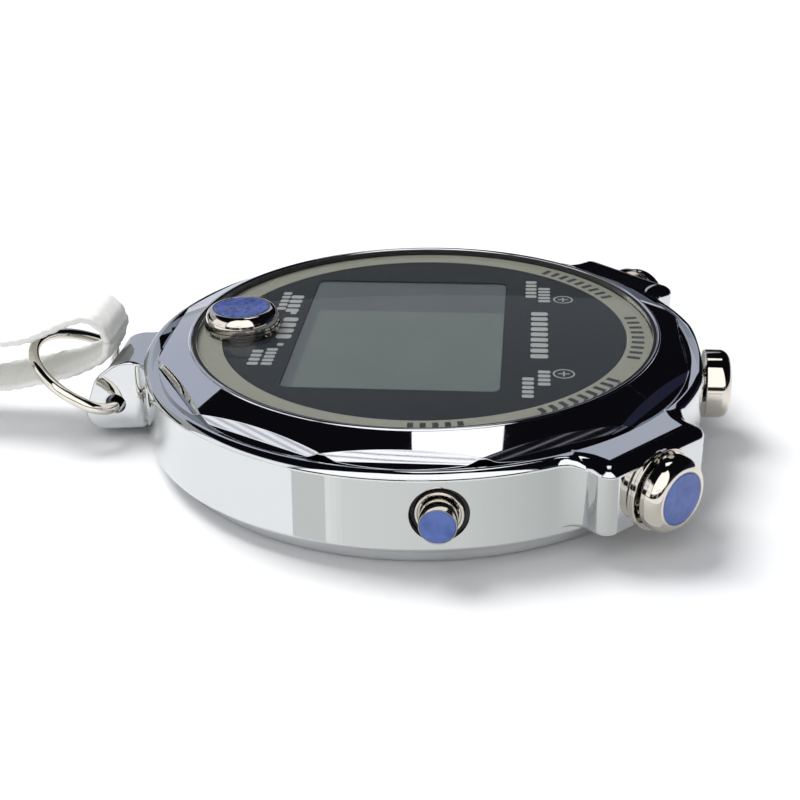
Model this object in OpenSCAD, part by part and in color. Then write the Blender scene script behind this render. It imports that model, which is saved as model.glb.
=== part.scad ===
// Handheld digital stopwatch: round chrome case, twelve-sided bezel, five push buttons,
// wire ring and flat neck lanyard. The origin is the centre of the back cover's flat face,
// +Z points out of the display, +Y to the twelve o'clock button, +X to the light button.

/* [Case] */
// Radius of the round case wall
case_r = 31.2; // [30.6:0.1:32]
// Height of the case's underside above the back cover's face
case_bottom = 2; // [1.8:0.1:2.2]
// Height of the case's top rim
case_top = 10.7; // [10.6:0.1:10.8]
// Rounding of the case's top edge
rim_round = 0.9; // [0.5:0.1:1]
// Distance from the centre to the flat face of a button shoulder
shoulder_face = 34.7; // [34.3:0.1:35]
// Half the width of a button shoulder
shoulder_half = 7.3; // [7.1:0.1:7.6]
// Height of a button shoulder's underside
shoulder_bottom = 3.3; // [3:0.1:3.4]

/* [Bezel and dial] */
// Number of sides of the bezel
bezel_sides = 12; // [10:1:14]
// Radius of the bezel over its corners
bezel_r = 29.5; // [29.3:0.1:29.7]
// Height of the bezel's corners
bezel_corner_z = 11.25; // [11.2:0.05:11.4]
// Radius of the clear lens
lens_r = 25.3; // [25.1:0.1:25.4]
// Height of the lens's upper face
lens_top = 12.7; // [12.65:0.05:12.75]
// Radius where the dark dial ends and the pale chapter ring begins
dial_r = 22.4; // [22:0.1:22.8]
// Width of the display window
window_w = 30.9; // [29:0.1:31]
// Height of the display window
window_h = 22.8; // [22:0.1:23]

/* [Buttons] */
// Height of the side buttons' axes
button_z = 6.4; // [6.2:0.1:6.5]
// Travel of every button
button_travel = 0.6; // [0.4:0.1:0.6]
// Offset of the light button from three o'clock towards twelve
light_offset = 3.7; // [2:0.1:5]
// Distance of the mode button from the centre
mode_y = 20.5; // [20.3:0.1:20.6]

/* [Lug and ring] */
// Width of the lug
lug_w = 9; // [8:0.5:9.5]
// Distance of the lug's hole from the case's centre
lug_hole_y = 34.8; // [34.6:0.1:35]
// Height of the lug's hole
lug_hole_z = 4.2; // [4:0.1:4.4]
// Thickness of the ring's wire
wire_d = 1.3; // [1.1:0.1:1.4]
// Tilt of the ring above the horizontal
ring_tilt = 28.5; // [26:0.5:30]

/* [Lanyard] */
// Width of the woven strap
strap_w = 8; // [7:0.5:8]
// Thickness of the woven strap
strap_t = 1.3; // [1:0.1:1.4]
// Length of the folded hank
hank_length = 124; // [110:1:130]
// Width of the folded hank
hank_width = 26; // [24:1:28]

/* [Hidden] */

chrome = "silver";
nickel = "tan";
cap_blue = "royalblue";
fine = 128;
medium = 64;
small = 32;

cavity_r = 28.2;              // room for the module inside the case wall
flange_r = 26;                // opening in the case's floor, closed by the back cover
flange_top = 4;               // upper face of that floor
boss_r = 4.25;                // boss round a corner button's hole
seat_r = 28.8;                // bore that takes the bezel's neck
seat_z = 9.9;                 // ledge that the bezel rests on
groove_r = 30.2;              // outer side of the gap round the bezel
neck_z = 8.8;                 // lower end of the bezel's neck
gasket_w = 0.3;               // width of the ring seal between lens and bezel
lens_t = 1;
dial_t = 0.7;
dial_top = lens_top - lens_t;
dial_outer_r = 25.2;
lip_r = lens_r + gasket_w;
lip_z = lens_top + 0.1;
facet_drop = bezel_r * (1 - cos(180 / bezel_sides));
mode_hole_r = 4.25;           // hole for the mode button in lens and dial
window_y = -2.5;              // the display sits below the centre of the dial
frame_r = 25.9;
frame_z = 7.6;
board_r = 23.4;
board_z = 4.6;
board_t = 0.8;
cell_z = 8.8;
cell_t = dial_top - dial_t - 0.05 - cell_z;
cover_r = 29.4;
spigot_r = 25.95;
spigot_z = 3.4;
cover_floor = 1;
screw_ring_r = 27.6;
screw_count = 4;
battery_r = 10;
battery_y = 9;
battery_z = 1.15;
battery_t = 3.2;
sounder_y = -13;
sounder_r = 9;

// Every side button as [angle, sideways offset, face distance, stem radius, bore radius,
//                       bore start, head start, head end, head radius, cap radius, cup radius]
A = 0; OFF = 1; FACE = 2; STEM = 3; BORE = 4; BORE0 = 5; HEAD0 = 6; HEAD1 = 7; HEADR = 8;
CAPR = 9; CUPR = 10;
corner_head = shoulder_face + button_travel + 0.2;
start_stop = [45, 0, shoulder_face, 1.6, 3.9, 30.6, corner_head, 37.5, 3.9, 2.7, 4.25];
lap_reset = [135, 0, shoulder_face, 1.6, 3.9, 30.6, corner_head, 37.5, 3.9, 2.7, 4.25];
recall = [90, 0, case_r - 0.7, 1.6, 3.3, 29, case_r - 0.65 + button_travel, 34, 3.8, 0, 0];
light = [0, light_offset, case_r - 0.3, 1, 2.36, 28.6, case_r - 0.7, 33.2, 1.86, 1.74, 0];
light_recess_r = 2.88;        // wider mouth of the light button's hole
light_recess = 29.6;          // bottom of that mouth
stem_inner = 26.7;            // inner end of every side button's stem
plunger_end = stem_inner - button_travel - 0.05;
clip_at = 27.1;               // inner face of its retaining clip
clip_t = 0.35;
groove_deep = 0.35;
sleeve_inner = 27.75;         // inner end of the sleeves
sleeve_wall = 0.7;
seal_at = 28.05;              // start of the seal's groove
seal_w = 0.6;
spring_room = 1.7;            // length of every side spring
spring_wire = 0.16;
spring_turns = 4;
run_gap = 0.04;               // radial clearance of stems in sleeves
cap_deep = 0.5;

ring_corner = 3;              // centre-line radius of the ring's corners
ring_half = lug_w / 2 + 0.15 + ring_corner;
ring_side = 0.6;              // straight stretch between corner and round end

// ---------- shared shapes ----------

// A round body from its outline of [radius, height] points
module turned(points, sides = fine) { rotate_extrude($fn = sides) polygon(points); }

module ring_disc(outer, inner, z0, z1, sides = fine) {
    turned([[inner, z0], [outer, z0], [outer, z1], [inner, z1]], sides);
}

// Points of a quarter round, counted from angle a0 to a1 about a centre of [radius, height]
function arc(c, r, a0, a1, n = 6) =
    [for (i = [0 : n]) [c[0] + r * cos(a0 + (a1 - a0) * i / n), c[1] + r * sin(a0 + (a1 - a0) * i / n)]];

// Places a side button's own axis, which is its local Z, on the case
module on_side(b) {
    rotate([0, 0, b[A]]) translate([0, b[OFF], button_z]) rotate([0, 90, 0]) children();
}

// ---------- case ----------

module case_outside() {
    turned(concat(
        [[0, case_bottom]],
        arc([case_r - 0.8, case_bottom + 0.8], 0.8, -90, 0),
        arc([case_r - rim_round, case_top - rim_round], rim_round, 0, 90),
        [[0, case_top]]));
}

// Room for the back cover's spigot, the module and the bezel
module case_inside() {
    turned([[0, case_bottom - 1], [flange_r, case_bottom - 1], [flange_r, flange_top],
        [cavity_r, flange_top], [cavity_r, neck_z - 0.2], [seat_r, neck_z - 0.2],
        [seat_r, seat_z], [groove_r, seat_z], [groove_r, case_top + 1], [0, case_top + 1]]);
}

// Plan of a button shoulder, from inside the wall out to its flat face
module shoulder_plan() {
    corner = 1.6;
    polygon(concat(
        [[case_r - 4.6, -shoulder_half], [case_r - 1.2, -shoulder_half - 0.6]],
        arc([shoulder_face - corner, -shoulder_half + corner], corner, -90, 0),
        arc([shoulder_face - corner, shoulder_half - corner], corner, 0, 90),
        [[case_r - 1.2, shoulder_half + 0.6], [case_r - 4.6, shoulder_half]]));
}

module shoulder(b) {
    rotate([0, 0, b[A]]) {
        difference() {
            translate([0, 0, shoulder_bottom])
                linear_extrude(case_top - shoulder_bottom) shoulder_plan();
            // sloped edge along the top of the face
            translate([shoulder_face, 0, case_top - 0.9]) rotate([0, 27, 0])
                translate([-5, -1.5 * shoulder_half, 0]) cube([10, 3 * shoulder_half, 5]);
        }
        translate([29.6, 0, button_z]) rotate([0, 90, 0])
            cylinder(h = shoulder_face - 29.6, r = boss_r, $fn = medium);
    }
}

// Side view of the lug as [distance outwards, height]
lug_outline = concat(
    [[29.2, 3], [30.3, 3], [31.6, 1.4], [34, 0.9]],
    arc([36.2, 2.8], 1.9, -90, -10),
    arc([36.3, 4.6], 1.9, 0, 45),
    arc([33.2, 3.9], 5.4, 52, 96),
    [[29.2, 9.5]]);

module lug() {
    rotate([0, 0, -90]) rotate([90, 0, 0]) linear_extrude(lug_w, center = true) polygon(lug_outline);
}

// Hole for a side button's sleeve, narrow inside and wide outside
module sleeve_hole(b) {
    on_side(b) {
        translate([0, 0, 24]) cylinder(h = 8, r = b[STEM] + sleeve_wall, $fn = medium);
        translate([0, 0, b[BORE0]]) cylinder(h = 10, r = b[BORE], $fn = medium);
    }
}

module case() {
    color(chrome) difference() {
        union() {
            case_outside();
            shoulder(start_stop);
            shoulder(lap_reset);
            lug();
        }
        case_inside();
        for (b = [start_stop, lap_reset, recall, light]) sleeve_hole(b);
        // flat behind the recall button, and the light button's wider mouth
        translate([-10, recall[FACE], 0]) cube([20, 5, 12]);
        on_side(light) translate([0, 0, light_recess])
            cylinder(h = 4, r = light_recess_r, $fn = medium);
        translate([0, -lug_hole_y, lug_hole_z]) rotate([0, 90, 0])
            cylinder(h = 3 * lug_w, r = wire_d / 2 + 0.45, center = true, $fn = small);
        screw_places() translate([0, 0, 1.5]) cylinder(h = 2.2, r = 0.6, $fn = small);
    }
}

module screw_places() {
    for (i = [0 : screw_count - 1]) rotate([0, 0, 22.5 + i * 360 / screw_count])
        translate([screw_ring_r, 0, 0]) children();
}

// ---------- bezel, lens and dial ----------

module bezel() {
    color(chrome) difference() {
        turned(concat(
            [[dial_outer_r + 0.1, neck_z], [seat_r - 0.03, neck_z], [seat_r - 0.03, seat_z],
             [bezel_r, seat_z],
             [bezel_r, bezel_corner_z], [lip_r + 0.5, lip_z - 0.18]],
            arc([lip_r + 0.22, lip_z - 0.22], 0.22, 20, 180),
            [[lip_r, dial_top], [dial_outer_r + 0.1, dial_top]]));
        // sloping sides between the corners
        for (i = [0 : bezel_sides - 1]) rotate([0, 0, i * 360 / bezel_sides])
            intersection() {
                translate([bezel_r - facet_drop, 0, bezel_corner_z]) rotate([0, -25, 0])
                    translate([0, -10, -10]) cube([5, 20, 20]);
                // gentler slope below, down to the bezel's wall
                translate([bezel_r - facet_drop + 0.295, 0, bezel_corner_z - 0.63]) rotate([0, 24, 0])
                    translate([-5, -10, 0]) cube([12, 20, 5]);
            }
    }
}

module lens() {
    color("lightblue", 0.35) difference() {
        turned([[0, dial_top], [lens_r, dial_top], [lens_r, lens_top - 0.15],
                [lens_r - 0.15, lens_top], [0, lens_top]]);
        translate([0, -mode_y, dial_top - 1]) cylinder(h = 3, r = mode_hole_r, $fn = medium);
    }
}

module lens_gasket() {
    color("black") ring_disc(lip_r, lens_r, dial_top, lens_top - 0.05);
}

module window_cut(z0, h, grow = 0) {
    translate([0, window_y, z0]) linear_extrude(h)
        square([window_w + 2 * grow, window_h + 2 * grow], center = true);
}

module dial() {
    color("darkslategray") difference() {
        translate([0, 0, dial_top - dial_t]) cylinder(h = dial_t, r = dial_r, $fn = fine);
        window_cut(dial_top - 2, 3);
        translate([0, -mode_y, dial_top - 2]) cylinder(h = 3, r = mode_hole_r, $fn = medium);
    }
}

module chapter_ring() {
    color("darkkhaki") difference() {
        ring_disc(dial_outer_r, dial_r + 0.03, dial_top - dial_t, dial_top);
        translate([0, -mode_y, dial_top - 2]) cylinder(h = 3, r = mode_hole_r, $fn = medium);
    }
}

// ---------- module ----------

module lcd_cell() {
    color("slategray") {
        window_cut(cell_z, cell_t, 0.9);
        window_cut(cell_z, cell_t + 0.55, -0.05);
    }
}

module lcd_backlight() {
    color("palegreen") window_cut(cell_z - 0.55, 0.5, -1.2);
}

strip_y = [window_y - window_h / 2, window_y + window_h / 2];

module zebra_strips() {
    color("dimgray") for (y = strip_y) translate([-12, y - 0.8, board_z + board_t])
        cube([24, 1.6, cell_z - board_z - board_t]);
}

module module_frame() {
    color("black") difference() {
        union() {
            turned([[0, frame_z], [frame_r, frame_z], [frame_r, neck_z - 0.05], [25, neck_z - 0.05],
                    [25, dial_top - dial_t], [0, dial_top - dial_t]]);
            pillar_places() translate([0, 0, board_z + board_t])
                cylinder(h = frame_z - board_z, r = 1.4, $fn = small);
        }
        window_cut(cell_z - 0.6, 4, 1);
        for (y = strip_y) translate([-12.2, y - 1, 0]) cube([24.4, 2, 20]);
        translate([0, -mode_y, 0]) cylinder(h = 20, r = 3.85, $fn = medium);
        pillar_places() translate([0, 0, 5]) cylinder(h = 4, r = 0.5, $fn = small);
    }
}

module pillar_places() {
    for (p = [[-18.5, 11], [18.5, -12], [-18.5, -12], [9, 19]]) translate([p[0], p[1], 0]) children();
}

module circuit_board() {
    color("darkgreen") difference() {
        translate([0, 0, board_z]) cylinder(h = board_t, r = board_r, $fn = fine);
        pillar_places() translate([0, 0, 4]) cylinder(h = 3, r = 0.65, $fn = small);
    }
}

// One side switch, lying on the board with its plunger towards its button
module side_switch(b) {
    rotate([0, 0, b[A]]) translate([0, b[OFF], 0]) {
        translate([20, -2.2, board_z + board_t]) cube([3, 4.4, 2]);
        translate([22.9, 0, button_z]) rotate([0, 90, 0])
            cylinder(h = plunger_end - 22.9, r = 0.7, $fn = small);
    }
}

module tact_switches() {
    color("gainsboro") {
        for (b = [start_stop, lap_reset, recall, light]) side_switch(b);
        translate([-2.2, -mode_y - 2.2, board_z + board_t]) cube([4.4, 4.4, 1.2]);
        translate([0, -mode_y, board_z + board_t + 1]) cylinder(h = 0.6, r = 0.8, $fn = small);
    }
}

module chip_and_crystal() {
    color("black") {
        turned([[0, board_z + board_t], [4, board_z + board_t], [3, board_z + board_t + 0.9],
                [0, board_z + board_t + 1.2]], medium);
        translate([-9, -9, board_z + board_t + 0.8]) rotate([0, 90, 0])
            cylinder(h = 6, r = 0.8, $fn = small);
    }
}

module module_screws() {
    color(chrome) pillar_places() {
        translate([0, 0, board_z - 0.5]) cylinder(h = 0.5, r = 1.1, $fn = small);
        translate([0, 0, board_z - 0.1]) cylinder(h = 3.4, r = 0.5, $fn = small);
    }
}

module battery() {
    color(chrome) translate([0, battery_y, 0]) turned([[0, battery_z], [battery_r - 0.9, battery_z],
        [battery_r - 0.9, battery_z + 0.5], [battery_r, battery_z + 0.5],
        [battery_r, battery_z + battery_t], [0, battery_z + battery_t]], medium);
}

module battery_clip() {
    color(nickel) {
        translate([-2, battery_y - battery_r - 1.6, battery_z + battery_t + 0.02])
            cube([4, battery_r + 1.6, 0.2]);
        translate([-2, battery_y - battery_r - 1.6, battery_z + 1])
            cube([4, 0.2, battery_t - 0.9]);
    }
}

module battery_insulator() {
    color("white") translate([0, battery_y, 0])
        ring_disc(battery_r + 1, battery_r + 0.1, cover_floor, battery_z + 2.6, medium);
}

module sounder_disc() {
    color("gold") translate([0, sounder_y, cover_floor]) cylinder(h = 0.3, r = sounder_r, $fn = medium);
}

// ---------- springs ----------

// Coil spring about Z: a round wire swept along a helix
module coil_spring(r, z0, z1, wire, turns, step = 30) {
    n = turns * 360 / step;
    sides = 6;
    slope = atan2(z1 - z0 - 2 * wire, turns * 2 * PI * r);
    points = [for (i = [0 : n]) for (k = [0 : sides - 1])
        let (t = i * step, u = k * 360 / sides,
             out = wire * cos(u), up = wire * sin(u),
             z = z0 + wire + (z1 - z0 - 2 * wire) * i / n)
        [(r + out) * cos(t) + up * sin(slope) * sin(t),
         (r + out) * sin(t) - up * sin(slope) * cos(t), z + up * cos(slope)]];
    faces = concat(
        [[for (k = [sides - 1 : -1 : 0]) k]],
        [for (i = [0 : n - 1]) for (k = [0 : sides - 1]) let (j = (k + 1) % sides)
            [i * sides + j, (i + 1) * sides + j, (i + 1) * sides + k, i * sides + k]],
        [[for (k = [0 : sides - 1]) n * sides + k]]);
    polyhedron(points, faces, convexity = 10);
}

module sounder_spring() {
    color(nickel) translate([0, sounder_y, 0])
        coil_spring(1.3, cover_floor + 0.32, board_z - 0.02, 0.15, 4);
}

// ---------- back ----------

module back_gasket() {
    color("black") rotate_extrude($fn = fine) translate([spigot_r - 0.35, 2.55])
        circle(r = 0.33, $fn = small);
}

module back_cover() {
    color(chrome) difference() {
        turned(concat([[0, 0], [cover_r - 0.8, 0]], arc([cover_r - 0.8, 0.8], 0.8, -60, 0),
            [[cover_r, case_bottom], [spigot_r, case_bottom], [spigot_r, 2.2], [spigot_r - 0.7, 2.2],
             [spigot_r - 0.7, 2.9], [spigot_r, 2.9], [spigot_r, spigot_z], [spigot_r - 1.6, spigot_z],
             [spigot_r - 1.6, cover_floor], [0, cover_floor]]));
        screw_places() {
            translate([0, 0, -1]) cylinder(h = 5, r = 0.75, $fn = small);
            translate([0, 0, -1]) cylinder(h = 1.7, r = 1.35, $fn = small);
        }
    }
}

module back_screws() {
    color(chrome) screw_places() difference() {
        union() {
            translate([0, 0, 0.1]) cylinder(h = 0.6, r = 1.25, $fn = small);
            translate([0, 0, 0.5]) cylinder(h = 3, r = 0.6, $fn = small);
        }
        for (a = [0, 90]) rotate([0, 0, a]) translate([-0.8, -0.15, 0]) cube([1.6, 0.3, 0.4]);
    }
}

// ---------- side buttons ----------

// A button head: a short neck, a rounded shoulder and a flat end that takes the cap
module head(b) {
    r = b[HEADR];
    flat_r = b[CAPR] > 0 ? b[CAPR] : r - 0.9;
    round_h = min(b[HEAD1] - b[HEAD0] - 0.5, 1.9);
    difference() {
        turned(concat(
            [[0, b[HEAD0]], [r, b[HEAD0]]],
            [for (i = [0 : 8]) let (t = i * 90 / 8)
                [flat_r + 0.08 + (r - flat_r - 0.08) * cos(t), b[HEAD1] - round_h + round_h * sin(t)]],
            [[0, b[HEAD1]]]), medium);
        if (b[CAPR] > 0) translate([0, 0, b[HEAD1] - cap_deep])
            cylinder(h = 1, r = b[CAPR], $fn = medium);
    }
}

module button(b) {
    r = b[STEM];
    color(nickel) on_side(b) {
        head(b);
        turned([[0, stem_inner], [r, stem_inner], [r, clip_at], [r - groove_deep, clip_at],
            [r - groove_deep, clip_at + clip_t + 0.05], [r, clip_at + clip_t + 0.05],
            [r, seal_at], [r - groove_deep, seal_at], [r - groove_deep, seal_at + seal_w],
            [r, seal_at + seal_w], [r, b[HEAD0]], [0, b[HEAD0]]], medium);
    }
}

module button_cap(b) {
    color(cap_blue) on_side(b) turned([[0, b[HEAD1] - cap_deep], [b[CAPR], b[HEAD1] - cap_deep],
        [b[CAPR], b[HEAD1] - 0.1], [b[CAPR] - 0.2, b[HEAD1] + 0.05], [0, b[HEAD1] + 0.1]], medium);
}

// Sleeve pressed into the case, with a pocket for the spring and, on the corners, a shallow cup
module button_sleeve(b) {
    pocket_r = b[HEADR] < b[BORE] - 0.3 ? b[HEADR] + 0.19 : b[BORE] - 0.45;
    color(nickel) on_side(b) difference() {
        union() {
            translate([0, 0, sleeve_inner])
                cylinder(h = b[BORE0] - sleeve_inner, r = b[STEM] + sleeve_wall, $fn = medium);
            translate([0, 0, b[BORE0]]) cylinder(h = b[FACE] - b[BORE0], r = b[BORE], $fn = medium);
            if (b[CUPR] > 0) translate([0, 0, b[FACE]]) cylinder(h = 0.4, r = b[CUPR], $fn = medium);
        }
        translate([0, 0, sleeve_inner - 1]) cylinder(h = 20, r = b[STEM] + run_gap, $fn = medium);
        translate([0, 0, b[HEAD0] - spring_room]) cylinder(h = 20, r = pocket_r, $fn = medium);
        translate([0, 0, b[FACE] + 0.15]) cylinder(h = 20, r = b[HEADR] + 0.08, $fn = medium);
    }
}

module button_seal(b) {
    color("black") on_side(b) rotate_extrude($fn = medium)
        translate([b[STEM] - groove_deep + 0.18, seal_at + seal_w / 2]) circle(r = 0.18, $fn = 16);
}

module button_spring(b) {
    color(nickel) on_side(b) coil_spring(b[STEM] + 0.35, b[HEAD0] - spring_room + 0.02,
        b[HEAD0] - 0.02, spring_wire, spring_turns);
}

module button_clip(b) {
    outer = b[STEM] + 0.5;
    color(chrome) on_side(b) difference() {
        ring_disc(outer, b[STEM] - groove_deep, clip_at + 0.02, clip_at + clip_t + 0.02, medium);
        translate([-0.5, 0, clip_at - 1]) cube([1, outer + 1, 3]);
    }
}

module start_stop_button() { button(start_stop); }
module start_stop_cap() { button_cap(start_stop); }
module start_stop_sleeve() { button_sleeve(start_stop); }
module start_stop_seal() { button_seal(start_stop); }
module start_stop_spring() { button_spring(start_stop); }
module start_stop_clip() { button_clip(start_stop); }

module lap_reset_button() { button(lap_reset); }
module lap_reset_cap() { button_cap(lap_reset); }
module lap_reset_sleeve() { button_sleeve(lap_reset); }
module lap_reset_seal() { button_seal(lap_reset); }
module lap_reset_spring() { button_spring(lap_reset); }
module lap_reset_clip() { button_clip(lap_reset); }

module recall_button() { button(recall); }
module recall_sleeve() { button_sleeve(recall); }
module recall_seal() { button_seal(recall); }
module recall_spring() { button_spring(recall); }
module recall_clip() { button_clip(recall); }

module light_button() { button(light); }
module light_cap() { button_cap(light); }
module light_sleeve() { button_sleeve(light); }
module light_seal() { button_seal(light); }
module light_spring() { button_spring(light); }
module light_clip() { button_clip(light); }

// ---------- mode button, on the face ----------

mode_base_r = 3.54;            // pocket for the spring in the sleeve
mode_head_r = 4.15;
mode_cap_r = 3.15;
mode_stem_r = 1.2;
mode_top = lens_top + 1.8;
mode_under = 11.65;           // underside of the head
mode_switch_top = board_z + board_t + 1.6;
mode_stem_end = mode_switch_top + button_travel + 0.05;
mode_clip_z = 8.1;
mode_sleeve_z = 8.55;
mode_pocket_z = 9.7;
mode_seal_z = 8.95;

module on_mode() { translate([0, -mode_y, 0]) children(); }

module mode_button() {
    r = mode_stem_r;
    color(nickel) on_mode() difference() {
        turned(concat(
            [[0, mode_stem_end], [r, mode_stem_end], [r, mode_clip_z], [r - 0.3, mode_clip_z],
             [r - 0.3, mode_clip_z + 0.35], [r, mode_clip_z + 0.35], [r, mode_seal_z],
             [r - 0.3, mode_seal_z], [r - 0.3, mode_seal_z + 0.5], [r, mode_seal_z + 0.5],
             [r, mode_under]],
            [for (i = [0 : 4]) let (t = -60 + i * 15)
                [mode_head_r - 0.8 + 0.8 * cos(t), lens_top + 0.2 + 1.25 / sin(60) * sin(t)]],
            [for (i = [1 : 8]) let (t = i * 90 / 8)
                [mode_cap_r + 0.08 + (mode_head_r - mode_cap_r - 0.08) * cos(t),
                 lens_top + 0.2 + (mode_top - lens_top - 0.2) * sin(t)]],
            [[0, mode_top]]), medium);
        translate([0, 0, mode_top - cap_deep]) cylinder(h = 1, r = mode_cap_r, $fn = medium);
    }
}

module mode_cap() {
    color(cap_blue) on_mode() turned([[0, mode_top - cap_deep], [mode_cap_r, mode_top - cap_deep],
        [mode_cap_r, mode_top - 0.1], [mode_cap_r - 0.25, mode_top + 0.05], [0, mode_top + 0.1]], medium);
}

module mode_sleeve() {
    color(nickel) on_mode() difference() {
        translate([0, 0, mode_sleeve_z])
            cylinder(h = dial_top - dial_t - 0.05 - mode_sleeve_z, r = 3.8, $fn = medium);
        translate([0, 0, 5]) cylinder(h = 10, r = mode_stem_r + run_gap, $fn = medium);
        translate([0, 0, mode_pocket_z]) cylinder(h = 10, r = mode_base_r, $fn = medium);
    }
}

module mode_seal() {
    color("black") on_mode() rotate_extrude($fn = medium)
        translate([mode_stem_r - 0.3 + 0.16, mode_seal_z + 0.25]) circle(r = 0.16, $fn = 16);
}

module mode_spring() {
    color(nickel) on_mode()
        coil_spring(2.2, mode_pocket_z + 0.02, mode_under - 0.02, spring_wire, spring_turns);
}

module mode_clip() {
    color(chrome) on_mode() difference() {
        ring_disc(mode_stem_r + 0.8, mode_stem_r - 0.3, mode_clip_z + 0.02, mode_clip_z + 0.32,
            medium);
        translate([-0.4, 0, 7]) cube([0.8, 3, 3]);
    }
}

// ---------- ring ----------

// The ring lies in its own X-Y plane: a straight bar along X at y = 0, then rounded outwards
module ring_arc(centre, r, a0, sweep) {
    translate(centre) rotate([0, 0, a0]) rotate_extrude(angle = sweep, $fn = fine)
        translate([r, 0]) circle(d = wire_d, $fn = small);
}

module split_ring() {
    side_y = ring_corner + ring_side;
    corner_x = ring_half - ring_corner;
    color(nickel) translate([0, -lug_hole_y, lug_hole_z]) rotate([ring_tilt, 0, 180]) union() {
        translate([-corner_x, 0, 0]) rotate([0, 90, 0])
            cylinder(h = 2 * corner_x, d = wire_d, $fn = small);
        for (x = [-ring_half, ring_half]) translate([x, ring_corner, 0]) rotate([-90, 0, 0])
            cylinder(h = ring_side, d = wire_d, $fn = small);
        ring_arc([corner_x, ring_corner, 0], ring_corner, -90, 90);
        ring_arc([-corner_x, ring_corner, 0], ring_corner, 180, 90);
        ring_arc([0, side_y, 0], ring_half, 0, 180);
    }
}

// ---------- lanyard ----------

hank_y = -66;                 // near end of the hank
tie_t = 0.6;
strap_z = strap_w / 2 + tie_t;
leg_x = 2.6;                  // the two legs enter the hank on both sides of its middle
hank_waist = 8;               // half the width where the tie holds it

// Middle line of the strap as [x, y, z, lean]. Lean is how far the strap's width is turned up
// from level, so 90 stands it on edge. It leaves the hank, passes the ring and comes back.
route = [
    [-leg_x, hank_y, strap_z, 90], [-2.6, -61, 5.8, 76], [-1.9, -57, 8.3, 45],
    [-0.7, -53, 10.2, 14], [0, -49, 10.9, 0], [0, -45, 11.4, 0], [0, -42, 12.6, 0],
    [0, -39.5, 13.7, 0], [0, -37.6, 14.1, 0], [0, -35.9, 13.1, 0], [0, -35.2, 11.4, 0],
    [0, -35.9, 9.6, 0], [0, -37.6, 8.5, 0], [0, -39.8, 7.5, 0], [0, -43, 6.6, 0],
    [0, -48, 5.5, 0], [0.7, -53, 4.9, 14], [1.9, -57, 4.7, 45], [2.6, -61, strap_z, 76],
    [leg_x, hank_y, strap_z, 90]
];
span_steps = 4;

// Smooth curve through the route: value at span i and fraction t
function via(i) = route[max(0, min(len(route) - 1, i))];
function along(i, t) = 0.5 * (2 * via(i) + t * (via(i + 1) - via(i - 1))
    + t * t * (2 * via(i - 1) - 5 * via(i) + 4 * via(i + 1) - via(i + 2))
    + t * t * t * (3 * via(i) - via(i - 1) - 3 * via(i + 1) + via(i + 2)));
function xyz(p) = [p[0], p[1], p[2]];
function unit(v) = v / norm(v);

strap_path = concat([for (i = [0 : len(route) - 2]) for (k = [0 : span_steps - 1])
    along(i, k / span_steps)], [route[len(route) - 1]]);

function heading(i) = i == 0 ? [0, 1, 0] : i == len(strap_path) - 1 ? [0, -1, 0] :
    unit(xyz(strap_path[i + 1]) - xyz(strap_path[i - 1]));

// Flat section with rounded edges, as [across the width, through the thickness]
w = strap_w / 2;
t = strap_t / 2;
e = w - t / 2;
section = [[w, 0], [e, 0.85 * t], [0, t], [-e, 0.85 * t],
           [-w, 0], [-e, -0.85 * t], [0, -t], [e, -0.85 * t]];

function strap_ring(i) =
    let (go = heading(i), lean = strap_path[i][3], raw = [cos(lean), 0, sin(lean)],
         wide = unit(raw - go * (raw * go)), thick = cross(go, wide))
    [for (q = section) xyz(strap_path[i]) + q[0] * wide + q[1] * thick];

module lanyard_strap() {
    n = len(strap_path);
    m = len(section);
    color("white") polyhedron(
        [for (i = [0 : n - 1]) each strap_ring(i)],
        concat([[for (k = [0 : m - 1]) k]],
            [for (i = [0 : n - 2]) for (k = [0 : m - 1]) let (j = (k + 1) % m)
                each [[i * m + k, (i + 1) * m + k, (i + 1) * m + j],
                      [i * m + k, (i + 1) * m + j, i * m + j]]],
            [[for (k = [m - 1 : -1 : 0]) (n - 1) * m + k]]), convexity = 10);
}

// Plan of the hank: round ends, drawn in where the tie holds it
module hank_plan() {
    r = hank_width / 2;
    corner = 7;
    half = hank_length / 2;
    polygon(concat(
        arc([r - corner, half - corner], corner, 0, 90),
        arc([corner - r, half - corner], corner, 90, 180),
        [[-hank_waist, 5], [-hank_waist, -5]],
        arc([corner - r, corner - half], corner, 180, 270),
        arc([r - corner, corner - half], corner, 270, 360),
        [[hank_waist, -5], [hank_waist, 5]]));
}

module lanyard_hank() {
    color("white") translate([0, hank_y - hank_length / 2, tie_t]) linear_extrude(strap_w) hank_plan();
}

module lanyard_tie() {
    color("black") translate([0, hank_y - hank_length / 2, 0]) difference() {
        translate([-hank_waist - tie_t, -4, 0]) cube([2 * (hank_waist + tie_t), 8, strap_w + 2 * tie_t]);
        translate([-hank_waist, -5, tie_t]) cube([2 * hank_waist, 10, strap_w]);
    }
}

case();
bezel();
lens();
lens_gasket();
dial();
chapter_ring();
lcd_cell();
lcd_backlight();
zebra_strips();
module_frame();
circuit_board();
tact_switches();
chip_and_crystal();
module_screws();
battery();
battery_clip();
battery_insulator();
sounder_disc();
sounder_spring();
back_gasket();
back_cover();
back_screws();
start_stop_button();
start_stop_cap();
start_stop_sleeve();
start_stop_seal();
start_stop_spring();
start_stop_clip();
lap_reset_button();
lap_reset_cap();
lap_reset_sleeve();
lap_reset_seal();
lap_reset_spring();
lap_reset_clip();
recall_button();
recall_sleeve();
recall_seal();
recall_spring();
recall_clip();
light_button();
light_cap();
light_sleeve();
light_seal();
light_spring();
light_clip();
mode_button();
mode_cap();
mode_sleeve();
mode_seal();
mode_spring();
mode_clip();
split_ring();
lanyard_strap();
lanyard_hank();
lanyard_tie();
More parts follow.
